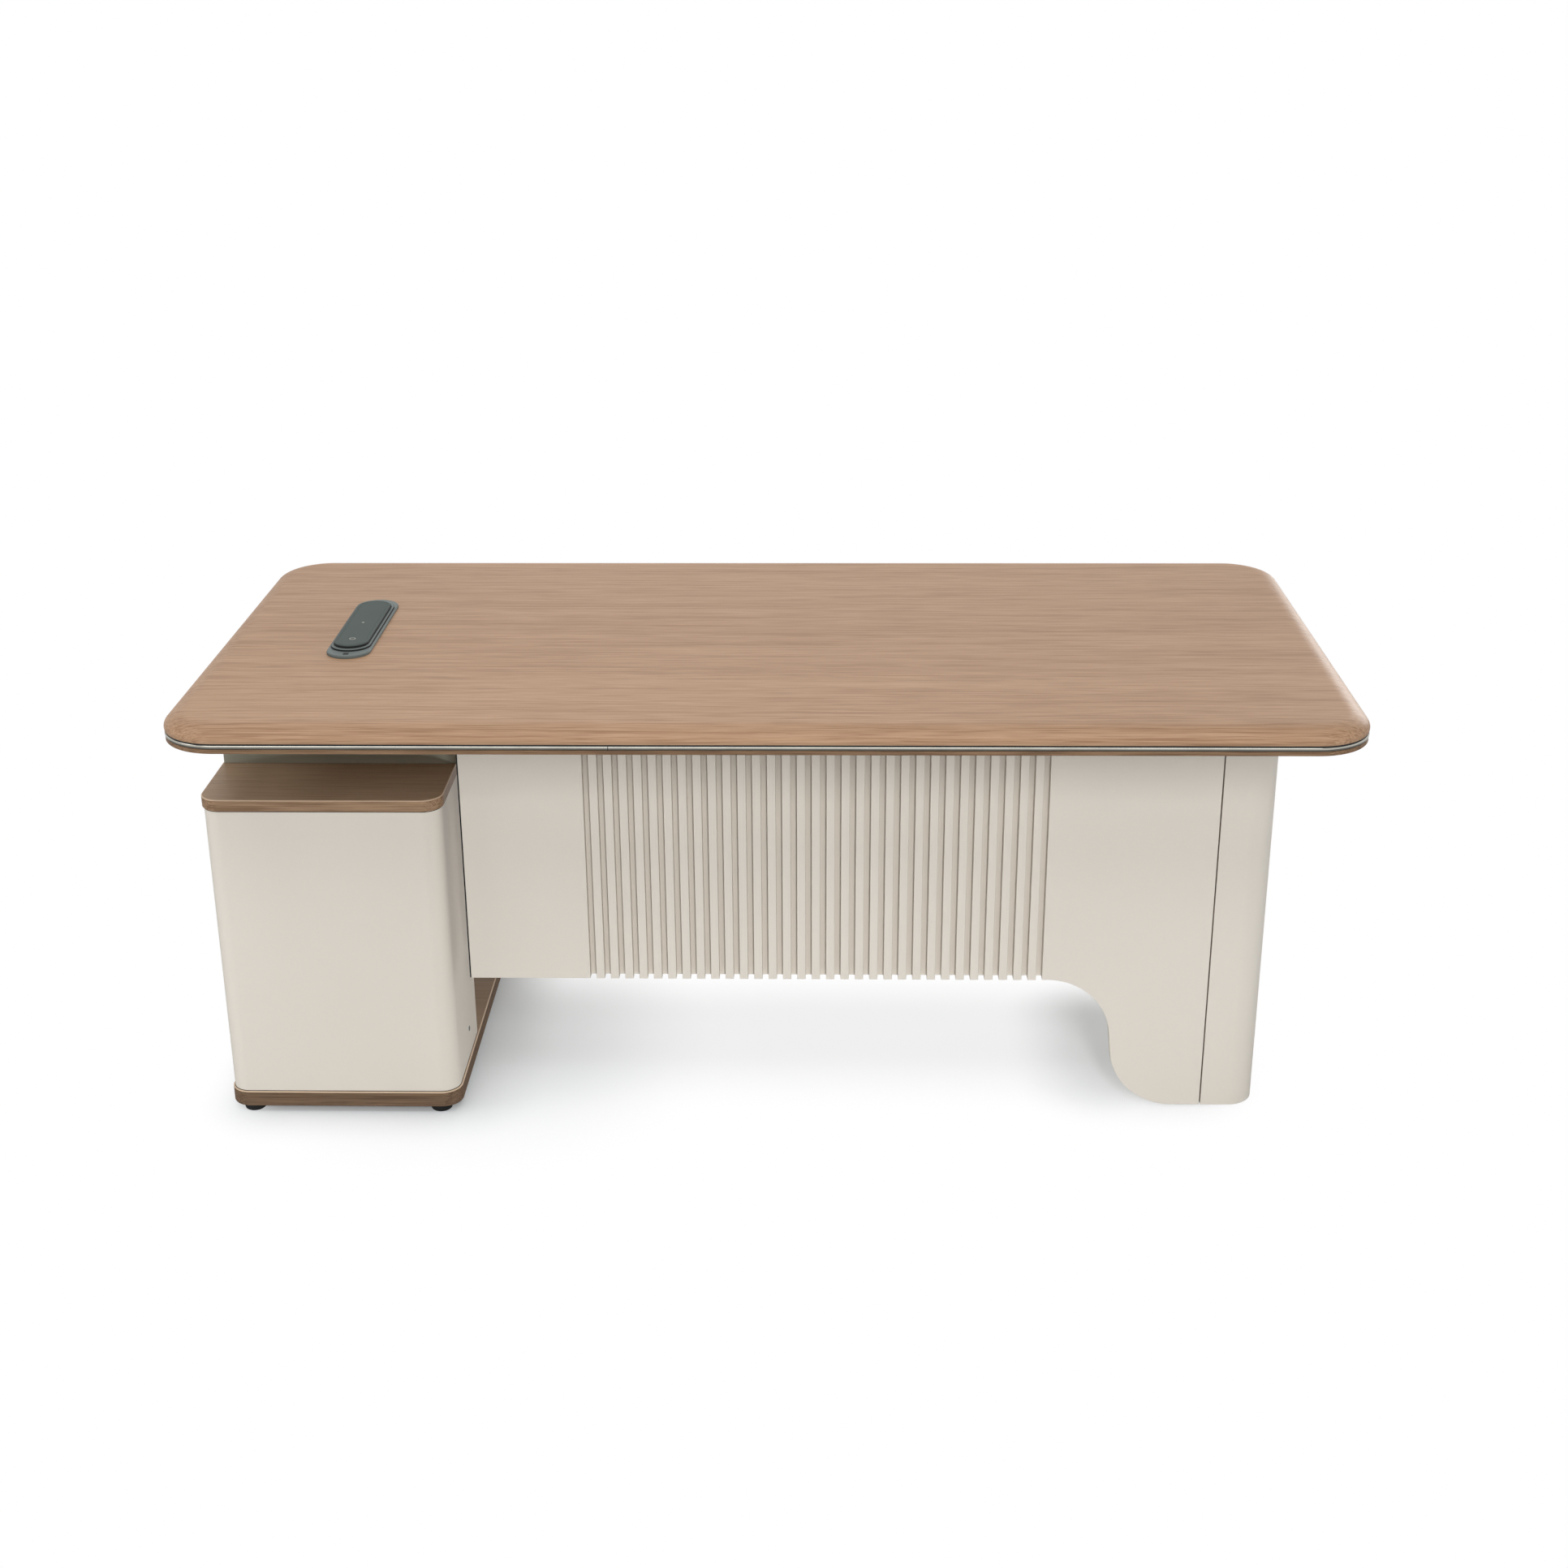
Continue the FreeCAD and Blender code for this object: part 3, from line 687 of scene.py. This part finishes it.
def power_surround():
    """Bezel in two steps, a soft flange and a crisp ring, with a groove inside each."""
    z0, z1 = height_of("power_bezel")
    step = flange_top()
    flange = (flange_length, flange_width)
    ring = (ring_length, ring_width)
    plate = footprint_of("power_pad")
    length, width = footprint_of("power_tower")
    bore = (length + 2 * bore_gap, width + 2 * bore_gap)
    foot = 0.3 * MM
    soft = 2.4 * MM
    groove = 1.3 * MM
    lip = 0.6 * MM
    crisp_turn = (0, 0.5, 1.05, 1.571)
    rows = [(flange, z0, foot), (flange, z0 + foot, 0.0)]
    rows += [(flange, z, inset) for z, inset in rounded_rim(step, soft, soft)]
    rows += [(ring, step, -groove), (ring, step - groove, -groove), (ring, step - groove, 0.0)]
    rows += [(ring, z, inset) for z, inset in rounded_rim(z1, ring_crisp, ring_crisp, crisp_turn)]
    rows += [(plate, z1, -groove), (plate, z1 - groove, -groove), (plate, z1 - groove, groove)]
    rows += [(bore, z1 - groove, -lip), (bore, z1 - groove - lip, 0.0), (bore, z0, 0.0)]
    surround = loft([power_capsule(size, z, inset) for size, z, inset in rows], joined=True)
    new_piece("power_surround", surround, "power_grey", nodes=("power_bezel",))


def shadow_band(name, size, z0, z1, body):
    """Thin black band round a capsule-shaped wall: painted shade on the wall."""
    thick = 0.7 * MM
    bed = 0.3 * MM
    rows = [(z0, bed), (z0, -thick), (z1, -thick), (z1, bed)]
    band = loft([power_capsule(size, z, inset) for z, inset in rows], joined=True)
    new_piece(name, band, "black_plastic", body)


def charging_plate():
    """Crowned plate on top of the tower with a fine groove inside its rim, and a black band of painted
    shade round its wall.
    """
    size = footprint_of("power_pad")
    z0, z1 = height_of("power_pad")
    foot = 0.4 * MM
    crown = 1.4 * MM
    groove_outer = 4.2 * MM
    groove_inner = 5.4 * MM
    groove_depth = 0.3 * MM
    groove_slope = 0.2 * MM
    rows = [(z0, foot), (z0 + foot, 0.0)] + rounded_rim(z1, crown, crown)
    rows += [(z1, groove_outer), (z1 - groove_depth, groove_outer + groove_slope),
             (z1 - groove_depth, groove_inner - groove_slope), (z1, groove_inner)]
    plate = loft([power_capsule(size, z, inset) for z, inset in rows])
    new_piece("power_charging_plate", plate, "power_pad", "power_tower", ("power_pad",))
    shadow_band("power_plate_seal", size, z0 + foot, z1 - crown, "power_tower")


def ring_shadow_band():
    # Black band round the ring's wall: painted shade
    ring_top = height_of("power_bezel")[1] - ring_crisp
    shadow_band("power_ring_seal", (ring_length, ring_width), flange_top(), ring_top, "frame")


def power_column():
    """The tower that lifts, eased at its foot."""
    size = footprint_of("power_tower")
    z0, z1 = height_of("power_tower")
    foot = 1.0 * MM
    rows = [(z0, foot), (z0 + foot, 0.0), (z1, 0.0)]
    column = loft([power_capsule(size, z, inset) for z, inset in rows])
    new_piece("power_column", column, "power_grey", "power_tower", ("power_tower",))


def power_outlets():
    """Three square outlet faces with a round well and two pin holes each."""
    low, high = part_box("power_sockets")
    half = (high.z - low.z) / 2
    corner = 5 * MM
    back = 1 * MM
    proud = 0.8 * MM
    soft = 0.5 * MM
    well = 18 * MM
    well_rim = 0.4 * MM
    well_taper = 0.6 * MM
    well_depth = 2.2 * MM
    corner_points = 13
    quarter_share = 0.98

    def square(inset, x):
        ring = rounded_ring((-half, half, -half, half), [corner] * 4, 0, inset, corner_points - 1)
        return [(x, y, z) for y, z, _ in ring]

    def circle(radius, x):
        """As many points as the square, with a small step from each quarter to the next."""
        ring = []
        for point in range(4 * corner_points):
            quarter, part = divmod(point, corner_points)
            angle = math.pi * (1 + quarter / 2 + part / (2 * (corner_points - 1)) * quarter_share)
            ring.append((x, radius * math.cos(angle), radius * math.sin(angle)))
        return ring

    face = loft([square(0, -back), square(0, proud - soft), square(soft, proud),
                 circle(well, proud), circle(well - well_rim, proud - well_rim),
                 circle(well - well_taper, proud - well_depth)])
    places = [(high.x, (low.y + high.y) / 2 + socket_pitch * step, (low.z + high.z) / 2)
              for step in (-1, 0, 1)]
    repeat_piece("power_outlet_faces", face, places, "socket_black", "power_tower", ("power_sockets",))

    pin_radius = 2.4 * MM
    pin_height = 0.25 * MM
    pin_aside = 9.5 * MM
    pin = turned([(pin_radius, 0), (pin_radius, pin_height)], steps=20)
    holes = [(x + proud - well_depth, y + aside, z) for x, y, z in places
             for aside in (-pin_aside, pin_aside)]
    repeat_piece("power_outlet_pin_holes", turned_over(pin, "Y", math.pi / 2), holes, "black_plastic",
                 "power_tower")


def charging_marks():
    """Light inlays on the charging plate: a cross in its middle and a ring near its front."""
    x, y = centre_of("power_pad")
    plate_top = height_of("power_pad")[1]
    z0 = plate_top - 0.3 * MM
    z1 = plate_top + 0.15 * MM
    arm = 2.6 * MM
    thin = 0.35 * MM
    cross = [(x - thin, y - arm), (x + thin, y - arm), (x + thin, y - thin), (x + arm, y - thin),
             (x + arm, y + thin), (x + thin, y + thin), (x + thin, y + arm), (x - thin, y + arm),
             (x - thin, y + thin), (x - arm, y + thin), (x - arm, y - thin), (x - thin, y - thin)]
    new_piece("charging_cross", prism(cross, z0, z1), "cream_board", "power_tower")

    outer = 5.0 * MM
    inner = 4.3 * MM
    ring_y = y - 87 * MM
    profile = [(outer, z0), (outer, z1), (inner, z1), (inner, z0)]
    ring = turned(profile, x, ring_y, steps=40, joined=True)
    new_piece("charging_ring", ring, "cream_board", "power_tower")


def indicator_slot():
    """Small black window in the flange, in front of the ring."""
    x, y = centre_of("power_pad")
    slot_y = y - (ring_length + flange_length) / 4
    half_width = 4.4 * MM
    half_length = 4.6 * MM
    corner = 1.5 * MM
    sunk = 0.5 * MM
    proud = 0.2 * MM
    ease = 0.1 * MM
    sides = (x - half_width, x + half_width, slot_y - half_length, slot_y + half_length)
    rings = plate_rings(sides, [corner] * 4, flange_top() - sunk, flange_top() + proud, ease,
                        steps=6, turns=2)
    new_piece("power_indicator_slot", loft(rings), "black_plastic")


def power_unit():
    power_surround()
    charging_plate()
    ring_shadow_band()
    power_column()
    power_outlets()
    charging_marks()
    indicator_slot()


# Modesty box and leg

def modesty_box():
    """Flat boards, a black strip along the panel's left edge as painted shadow in the gap beside the
    pedestal, and the row of slats.
    """
    for node in ("panel_left", "panel_carrier", "trunk_end", "spine_board"):
        eased_board(node, "cream_board")

    low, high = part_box("panel_left")
    # Black strip: painted shadow line in the gap beside the pedestal
    shadow_line_width = 2.2 * MM
    shadow_line_ease = 0.4 * MM
    strip = block((low.x - shadow_line_width, low.x, low.y + board_ease, high.y), low.z, high.z)
    new_piece("panel_edge_seal", ease_edges(strip, shadow_line_ease), "black_plastic")

    low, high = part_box("fluted_slats")
    row = linked_object("fluted_slat_row", bpy.data.meshes.new("fluted_slat_row"))
    grow(row, slat_row_tree(), {
        "Count": slat_count,
        "Pitch": (high.x - low.x - slat_width) / (slat_count - 1),
        "First": (low.x + slat_width / 2, (low.y + high.y) / 2, low.z),
        "Width": slat_width,
        "Depth": high.y - low.y,
        "Height": high.z - low.z,
        "Round": slat_round,
        "Finish": finishes["cream_board"],
    })
    finish_piece(row, "cream_board", nodes=("fluted_slats",))


def swept_leg_board():
    """Flat board whose lower edge sweeps down to the toe in two tangent arcs."""
    x0, x1, y0, y1 = plan_of("leg_front_panel")
    z0, z1 = height_of("leg_front_panel")
    z_panel = height_of("panel_left")[0]
    both_curves = upper_curve + lower_curve
    straight = (z_panel - z0 - both_curves * (1 - math.sin(curve_slope))) / math.cos(curve_slope)
    toe = x1 + seam_gap - toe_width
    shoulder = toe - both_curves * math.cos(curve_slope) - straight * math.sin(curve_slope)

    def arc(x, z, radius, start, sweep):
        turns = 28
        angles = [start + sweep * turn / turns for turn in range(turns + 1)]
        return [(x + radius * math.cos(angle), z + radius * math.sin(angle)) for angle in angles]

    sweep = math.pi / 2 - curve_slope
    outline = [(x1, z0), (x1, z1), (x0, z1), (x0, z_panel)]
    outline += arc(shoulder, z_panel - upper_curve, upper_curve, math.pi / 2, -sweep)
    outline += arc(toe, z0 + lower_curve, lower_curve, math.pi + curve_slope, sweep)
    board = ease_edges(loft([[(x, y, z) for x, z in outline] for y in (y0, y1)]), board_ease)
    new_piece("leg_swept_board", board, "cream_board", nodes=("leg_front_panel",))


def leg_wrap():
    """Board bent round the leg's two outer corners, and the leg's inner board."""
    low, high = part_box("leg_shell")
    seam = plan_of("leg_front_panel")[1] + seam_gap
    front_right = 1
    outer = bent_pair(plan_of("leg_shell"), leg_round, 0, front_right)
    inner = bent_pair(plan_of("leg_shell"), leg_round, facing, front_right)
    outline = [(seam, low.y)] + outer + [(low.x, high.y), (low.x, high.y - facing)]
    outline += inner[::-1] + [(seam, low.y + facing)]
    wrap = ease_edges(prism(outline, low.z, high.z), board_ease)
    new_piece("leg_wrap_board", wrap, "cream_board", nodes=("leg_shell",))
    eased_board("leg_inner_board", "cream_board")


def leg_glides():
    low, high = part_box("leg_glides")
    radius = (high.x - low.x) / 2
    sole = radius - 1 * MM
    sole_height = 0.8 * MM
    glide = turned([(sole, 0), (radius, sole_height), (radius, high.z)])
    places = [((low.x + high.x) / 2, y, 0) for y in (low.y + radius, high.y - radius)]
    repeat_piece("leg_floor_glides", glide, places, "black_plastic", nodes=("leg_glides",))


# Pedestal

def mark_cap_painted_light(board, z1):
    """Mark a cap's rounded upper rim for a painted highlight and its upper sheet for painted light."""
    rim_start = 0.2
    sheet_start = 0.98
    rises = [(vertex.co.z - z1 + cap_ease) / cap_ease for vertex in board.data.vertices]
    marks = {
        "cap_rim": [float(rim_start < rise < sheet_start) for rise in rises],
        "cap_sheet": [float(rise >= sheet_start) for rise in rises],
    }
    for name, values in marks.items():
        mark = board.data.attributes.new(name, "FLOAT", "POINT")
        mark.data.foreach_set("value", values)


def pedestal_caps():
    """Veneered boards above and below the bent front, with rounded rims."""
    front_round = shell_round + cap_overhang
    radii = (front_round, front_round, cap_rear_round, cap_rear_round)
    for node in ("cabinet_top", "cabinet_base"):
        z0, z1 = height_of(node)
        plate = loft(plate_rings(plan_of(node), radii, z0, z1, cap_ease))
        # Painted highlight on the upper rim and painted light on the upper sheet
        mark_cap_painted_light(new_piece(node + "_board", plate, "pedestal_walnut", nodes=(node,)), z1)


def bent_front(outside, inside):
    """Outline of a board bent round the pedestal's two front corners, between two insets."""
    sides = plan_of("cabinet_front_shell")
    x0, x1, _, y1 = sides
    front_left = 0
    outer = bent_pair(sides, shell_round, outside, front_left)
    inner = bent_pair(sides, shell_round, inside, front_left)
    outline = [(x0 + outside, y1)] + outer + [(x1 - outside, y1), (x1 - inside, y1)]
    return outline + inner[::-1] + [(x0 + inside, y1)]


def pedestal_front():
    """Bent front board, with a black strip of painted shade under the top and another over the base."""
    z0, z1 = height_of("cabinet_front_shell")
    shell = ease_edges(prism(bent_front(0.0, shell_board), z0, z1), board_ease)
    new_piece("cabinet_bent_front", shell, "cream_board", nodes=("cabinet_front_shell",))
    # Black strips: painted shade in the creases under the top's overhang and over the base
    bed = 1.0 * MM
    for name, proud, low, high in (("cabinet_top_gasket", 0.5 * MM, z1 - 1.3 * MM, z1),
                                   ("cabinet_base_gasket", 0.3 * MM, z0, z0 + 0.7 * MM)):
        new_piece(name, prism(bent_front(-proud, bed), low, high), "black_plastic")


def pedestal_boards():
    for node in ("cabinet_side_left", "cabinet_side_right", "cabinet_post", "riser_front", "riser_left"):
        eased_board(node, "cream_board")
    for node in ("cabinet_divider", "cabinet_deck"):
        eased_board(node, "pedestal_walnut")


def pedestal_feet():
    """Four tapered feet, each with a collar under the base."""
    low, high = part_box("cabinet_feet")
    collar = 20 * MM
    collar_height = 1.6 * MM
    collar_step = 1.0 * MM
    neck_height = 2.5 * MM
    sole = 17 * MM
    sole_ease = 1.2 * MM
    sole_height = 1.0 * MM
    foot = turned([(sole - sole_ease, 0), (sole, sole_height),
                   (collar - collar_step, high.z - neck_height),
                   (collar, high.z - collar_height), (collar, high.z)])
    places = [(x, y, 0) for x in (low.x + collar, high.x - collar)
              for y in (low.y + collar, high.y - collar)]
    repeat_piece("cabinet_tapered_feet", foot, places, "black_plastic", nodes=("cabinet_feet",))


def riser_post():
    """Turned steel post between pedestal and desktop, with the same flange at both ends."""
    z0, z1 = height_of("riser_support")
    flange = footprint_of("riser_support")[1] / 2
    rim = 1 * MM
    soft = 2 * MM
    end = [(flange, 0), (flange, support_flange - rim), (flange - rim, support_flange),
           (support_radius + soft, support_flange), (support_radius, support_flange + soft)]
    profile = [(radius, z0 + rise) for radius, rise in end]
    profile += [(radius, z1 - rise) for radius, rise in end[::-1]]
    post = turned(profile, *centre_of("riser_support"))
    new_piece("riser_turned_post", post, "steel", nodes=("riser_support",))


def cam_cover():
    """Round cover of a joining cam, low on the pedestal's inner return."""
    place = Vector((plan_of("cabinet_front_shell")[1], -133 * MM, 87 * MM))
    radius = 4.5 * MM
    wall = 0.4 * MM
    height = 0.8 * MM
    soft = 0.5 * MM
    cover = turned([(radius, 0), (radius, wall), (radius - soft, height)], steps=32)
    turned_over(cover, "Y", math.pi / 2)
    bmesh.ops.translate(cover, verts=cover.verts[:], vec=place)
    new_piece("cabinet_cam_cover", cover, "power_grey")


# Drawers

def drawer_tray(body):
    """Folded steel tray, open at the top."""
    node = f"{body}_tray"
    z0, z1 = height_of(node)
    corner = 3 * MM
    soft = 0.5 * MM
    rows = [(z0, soft), (z0 + soft, 0.0), (z1 - soft, 0.0), (z1, soft), (z1, tray_wall - soft),
            (z1 - soft, tray_wall), (z0 + tray_wall, tray_wall)]
    tray = loft([rounded_ring(plan_of(node), [corner] * 4, z, inset, steps=4) for z, inset in rows])
    new_piece(f"{body}_steel_tray", tray, "tray_grey", body, (node,))


def drawer_pull(body):
    """Metal strip bent over the drawer front's upper edge."""
    node = f"{body}_pull"
    low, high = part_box(node)
    bend = 3 * MM
    ease = 0.3 * MM

    def bent(radius, turns):
        return [(high.y - bend + radius * math.sin(turn), high.z - bend + radius * math.cos(turn))
                for turn in turns]

    outline = [(low.y, high.z - pull_plate), (low.y, high.z)]
    outline += bent(bend, quarter_turn)
    outline += [(high.y, low.z), (high.y - pull_plate, low.z)]
    outline += bent(bend - pull_plate, quarter_turn[::-1])
    pull = loft([[(x, y, z) for y, z in outline] for x in (low.x, high.x)])
    new_piece(f"{body}_bent_pull", ease_edges(pull, ease), "trim_metal", body, (node,))


def drawers():
    for body in ("drawer_1", "drawer_2", "drawer_3"):
        eased_board(f"{body}_front", "cream_board", body, drawer_front_ease)
        drawer_tray(body)
        drawer_pull(body)


# Fixings

def screw_head(radius):
    """Pan head with a shallow round drive, standing on z = 0."""
    drive = 0.36
    shares = [(1.0, 0.0), (0.96, 0.22), (0.80, 0.42), (0.55, 0.52), (drive, 0.54), (0.9 * drive, 0.22)]
    return turned([(radius * out, radius * up) for out, up in shares], steps=20)


def bracket_screws():
    """Two screws upwards and two backwards through each angle bracket."""
    low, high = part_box("angle_brackets")
    count = 5
    width = 30 * MM
    steel = 3 * MM
    from_edge = 12 * MM
    aside = 8 * MM
    head = 4.5 * MM
    pitch = (high.x - low.x - width) / (count - 1)
    middles = [low.x + width / 2 + pitch * step for step in range(count)]
    holes = [middle + side for middle in middles for side in (-aside, aside)]
    upwards = [(x, high.y - from_edge, high.z - steel) for x in holes]
    repeat_piece("bracket_top_screws", turned_over(screw_head(head), "X", math.pi), upwards, "steel")
    backwards = [(x, low.y + steel, low.z + from_edge) for x in holes]
    repeat_piece("bracket_spine_screws", turned_over(screw_head(head), "X", -math.pi / 2), backwards,
                 "steel")


def rail_screws():
    """Five screws upwards through the stiffening rail."""
    low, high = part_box("stiffener_rail")
    head = 6 * MM
    places = [(low.x + (high.x - low.x) * share, (low.y + high.y) / 2, low.z)
              for share in (0.06, 0.28, 0.5, 0.72, 0.94)]
    repeat_piece("rail_screws", turned_over(screw_head(head), "X", math.pi), places, "steel")


def post_screws():
    """Four screws through each flange of the turned post."""
    x, y = centre_of("riser_support")
    z0, z1 = height_of("riser_support")
    reach = 27 * MM
    head = 4 * MM
    ring = [(x + reach * math.cos(turn), y + reach * math.sin(turn)) for turn in (0.79, 2.36, 3.93, 5.5)]
    feet = [(*hole, z0 + support_flange) for hole in ring]
    repeat_piece("post_foot_screws", screw_head(head), feet, "steel")
    heads = [(*hole, z1 - support_flange) for hole in ring]
    repeat_piece("post_head_screws", turned_over(screw_head(head), "X", math.pi), heads, "steel")


# Studio

def studio_floor():
    """Pale floor. The camera sees it white, with its own shading only in the desk's shadow. Reflections
    see a dark card in front of the desk and white beyond it."""
    half_size = 60.0
    bm = bmesh.new()
    bmesh.ops.create_grid(bm, x_segments=1, y_segments=1, size=half_size)
    floor = shaped_object("studio_floor", bm)
    material, bench = new_finish("studio_floor")
    here = bench.add("ShaderNodeTexCoord", out="Object")

    def vector(operation, *inputs, out=0):
        return bench.add("ShaderNodeVectorMath", {"operation": operation}, dict(enumerate(inputs)), out)

    def away_from(x0, x1, y0, y1):
        """Distance on the floor from a rectangle."""
        middle = ((x0 + x1) / 2, (y0 + y1) / 2, 0.0)
        half = ((x1 - x0) / 2, (y1 - y0) / 2, 0.0)
        aside = vector("ABSOLUTE", vector("SUBTRACT", here, middle))
        beyond = vector("MAXIMUM", vector("SUBTRACT", aside, half), (0.0, 0.0, 0.0))
        return vector("LENGTH", beyond, out="Value")

    def white_over(sides, shadow, fade):
        """Share of white: less by shadow over a rectangle, and whole at the fade's distance from it."""
        return 1.0 - shadow * (1.0 - bench.band(away_from(*sides), 0.0, fade))

    ped_x0, ped_x1, ped_y0, ped_y1 = plan_of("cabinet_base")
    leg_x0 = plan_of("leg_shell")[0]
    under_pedestal = white_over((ped_x0 + 0.09, ped_x1 - 0.02, ped_y0 + 0.05, ped_y1),
                                shadow=0.85, fade=0.16)
    knee_space = white_over((ped_x1, leg_x0, -0.06, 0.07), shadow=0.25, fade=0.20)
    beside_pedestal = white_over((ped_x1 - 0.05, ped_x1 + 0.05, -0.10, 0.03), shadow=0.62, fade=0.38)
    beside_leg = white_over((leg_x0 - 0.10, leg_x0, -0.15, 0.08), shadow=0.60, fade=0.17)
    lit = under_pedestal * knee_space * beside_pedestal * beside_leg

    card_aside = 1.5
    card_ahead = 1.3
    card_edge = 0.2
    card_fade = 3.0
    top_x0, top_x1, top_y0 = plan_of("desktop_upper")[:3]
    from_card = away_from(top_x0 - card_aside, top_x1 + card_aside, top_y0 - card_ahead, top_y0)
    beyond_card = bench.band(from_card, card_edge, card_fade)

    seen = bench.ray("Is Camera Ray")
    mirrored = bench.ray("Is Glossy Ray")
    through = bench.ray("Is Transmission Ray")
    white_share = (seen + through) * lit + mirrored * beyond_card
    pale_paint = (0.84, 0.88, 0.90, 1.0)
    card_paint = (0.28, 0.28, 0.28, 1.0)
    colour = bench.blend(mirrored, pale_paint, card_paint)
    paint = bench.add("ShaderNodeBsdfDiffuse", None, {"Color": colour})
    white = bench.add("ShaderNodeEmission", None, {"Color": (1.0, 1.0, 1.0, 1.0), "Strength": 1.0})
    both = bench.add("ShaderNodeMixShader", None, {0: white_share, 1: paint, 2: white})
    bench.add("ShaderNodeOutputMaterial", None, {"Surface": both}, out=None)
    floor.data.materials.append(material)


def studio_world():
    """White to the camera and to reflections, and a low even light to everything else."""
    world = bpy.data.worlds.new("studio_world")
    world.use_nodes = True
    world.node_tree.nodes.clear()
    bench = Bench(world.node_tree)
    seen = bench.ray("Is Camera Ray")
    mirrored = bench.ray("Is Glossy Ray")
    through = bench.ray("Is Transmission Ray")
    shown = seen.work("MAXIMUM", seen, mirrored.work("MAXIMUM", mirrored, through))
    ambient = 0.02
    light = bench.add("ShaderNodeBackground", None,
                      {"Color": (1.0, 1.0, 1.0, 1.0), "Strength": ambient + (1.0 - ambient) * shown})
    bench.add("ShaderNodeOutputWorld", None, {"Surface": light}, out=None)
    bpy.context.scene.world = world


def soft_lamp(name, place, target, width, height, power, mirrored):
    data = bpy.data.lights.new(name, "AREA")
    data.shape = "RECTANGLE"
    data.size = width
    data.size_y = height
    data.energy = power
    lamp = bpy.data.objects.new(name, data)
    lamp.location = place
    lamp.rotation_euler = (Vector(target) - Vector(place)).to_track_quat("-Z", "Y").to_euler()
    lamp.visible_camera = False
    lamp.visible_glossy = mirrored
    bpy.context.scene.collection.objects.link(lamp)


def studio_lamps():
    # Name, place, target, width and height in metres, watts, shown in reflections
    for lamp in (
        ("overhead_softbox", (-0.5, 0.0, 3.4), (-0.3, 0.0, 0.0), 4.6, 3.6, 42, True),
        ("overhead_front_softbox", (-0.3, -1.8, 3.4), (-0.2, -0.2, 0.5), 4.0, 1.5, 38, True),
        ("front_softbox", (0.65, -4.6, 2.92), (0.1, -0.2, 0.45), 0.6, 1.5, 94, False),
        ("floor_front_softbox", (0.65, -4.6, 0.10), (0.1, -0.2, 0.3), 0.5, 0.16, 35, False),
        ("floor_left_softbox", (-4.2, -1.05, 0.12), (0.0, -0.2, 0.3), 1.2, 0.20, 36, False),
        ("right_softbox", (4.0, 0.0, 1.5), (0.0, 0.0, 0.6), 2.0, 1.6, 24, False),
        ("left_softbox", (-3.4, -0.6, 3.2), (-0.7, -0.1, 0.6), 1.6, 1.2, 21, True),
        ("back_softbox", (0.0, 4.2, 2.4), (0.0, 0.0, 0.3), 3.4, 1.6, 80, False),
        ("back_right_softbox", (3.70, 4.30, 1.75), (0.9, -0.2, 0.7), 2.3, 1.7, 80, True),
    ):
        soft_lamp(*lamp)


def studio_camera():
    data = bpy.data.cameras.new("photo_camera")
    data.sensor_width = sensor_width
    data.lens = focal_pixels / photo_pixels * sensor_width
    camera = bpy.data.objects.new("photo_camera", data)
    turn = Matrix.Rotation(-camera_heading, 3, "Z") @ Matrix.Rotation(math.pi / 2 - camera_tilt, 3, "X")
    turn = turn @ Matrix.Rotation(camera_roll, 3, "Z")
    camera.matrix_world = Matrix.Translation(camera_place) @ turn.to_4x4()
    bpy.context.scene.collection.objects.link(camera)
    bpy.context.scene.camera = camera


veneered_top()
under_board()
edge_trim()
power_unit()
modesty_box()
swept_leg_board()
leg_wrap()
leg_glides()
pedestal_caps()
pedestal_front()
pedestal_boards()
pedestal_feet()
riser_post()
cam_cover()
drawers()
bracket_screws()
rail_screws()
post_screws()

studio_floor()
studio_world()
studio_lamps()
studio_camera()
bpy.context.scene.view_settings.view_transform = "Standard"
